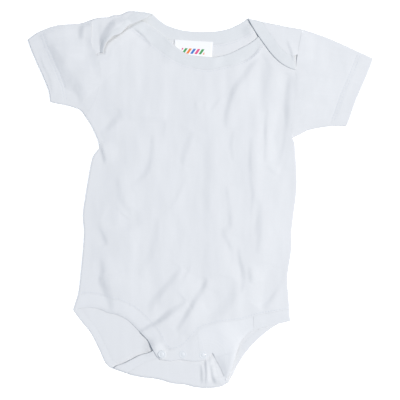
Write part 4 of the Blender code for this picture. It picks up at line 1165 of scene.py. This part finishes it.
def add_snap(number, x, y, sink):
    """A turned snap cap: a low dome in a ring."""
    angles = np.linspace(0, 2 * math.pi, SNAP_SIDES, endpoint=False)
    circle = np.column_stack([np.cos(angles), np.sin(angles)])
    ground = front_under(circle * SNAP_PROFILE[-1][0] + (x, y)).max() + CLOTH - sink
    points = [np.array([(x, y, ground + SNAP_PROFILE[0][1])])]
    for radius, height in SNAP_PROFILE[1:]:
        ring = circle * radius + (x, y)
        points.append(np.column_stack([ring, np.full(SNAP_SIDES, ground + height)]))
    faces = [(0, 1 + i, 1 + (i + 1) % SNAP_SIDES) for i in range(SNAP_SIDES)]
    for k in range(len(SNAP_PROFILE) - 2):
        inner, outer = 1 + k * SNAP_SIDES, 1 + (k + 1) * SNAP_SIDES
        for i in range(SNAP_SIDES):
            j = (i + 1) % SNAP_SIDES
            faces.append((inner + i, outer + i, outer + j, inner + j))
    last = 1 + (len(SNAP_PROFILE) - 2) * SNAP_SIDES
    faces.append(tuple(last + i for i in range(SNAP_SIDES))[::-1])
    piece = add_piece(f"snap_cap_{number}", np.vstack(points), faces, PEARL)
    declare(piece, [f"snap_{number}"])


def add_stage():
    """Floor, soft light from above the wearer's left side, and a camera straight above."""
    material = plain_material(
        "floor", FLOOR_COLOUR, roughness=0.9, scales=(4.0, 90.0), mottle=0.004,
        more={"Emission Color": (1, 1, 1, 1), "Emission Strength": FLOOR_GLOW},
    )
    bpy.ops.mesh.primitive_plane_add(size=FLOOR_SIZE, location=(0, 0, -FLOOR_DROP))
    floor = bpy.context.object
    floor.name = "floor"
    floor.data.materials.append(material)

    world = bpy.data.worlds.new("studio")
    bpy.context.scene.world = world
    world.use_nodes = True
    world.node_tree.nodes["Background"].inputs["Color"].default_value = (*SKY_COLOUR, 1)
    world.node_tree.nodes["Background"].inputs["Strength"].default_value = SKY_STRENGTH

    light = bpy.data.lights.new("key", "AREA")
    light.size, light.energy, light.color = KEY_SIZE, KEY_POWER, KEY_COLOUR
    lamp = bpy.data.objects.new("key", light)
    across = KEY_DISTANCE * math.sin(KEY_FROM_ABOVE)
    above = KEY_DISTANCE * math.cos(KEY_FROM_ABOVE)
    lamp.location = (across * math.cos(KEY_AZIMUTH), across * math.sin(KEY_AZIMUTH), above)
    lamp.rotation_euler = (-lamp.location).to_track_quat("-Z", "Y").to_euler()
    bpy.context.collection.objects.link(lamp)

    camera = bpy.data.cameras.new("camera")
    camera.sensor_width = SENSOR_WIDTH
    camera.lens = SENSOR_WIDTH * (CAMERA_HEIGHT - CLOTH_HEIGHT) / FRAME_WIDTH
    eye = bpy.data.objects.new("camera", camera)
    eye.location = (TO_ROW.x + CAMERA_SHIFT, TO_ROW.y + CAMERA_SHIFT, CAMERA_HEIGHT)
    bpy.context.collection.objects.link(eye)
    bpy.context.scene.camera = eye
    bpy.context.scene.view_settings.view_transform = "Standard"


add_stage()
add_back()
add_front()
add_sleeves()
add_label()
for number, place in enumerate(SNAP_PLACES, 1):
    add_snap(number, *place)
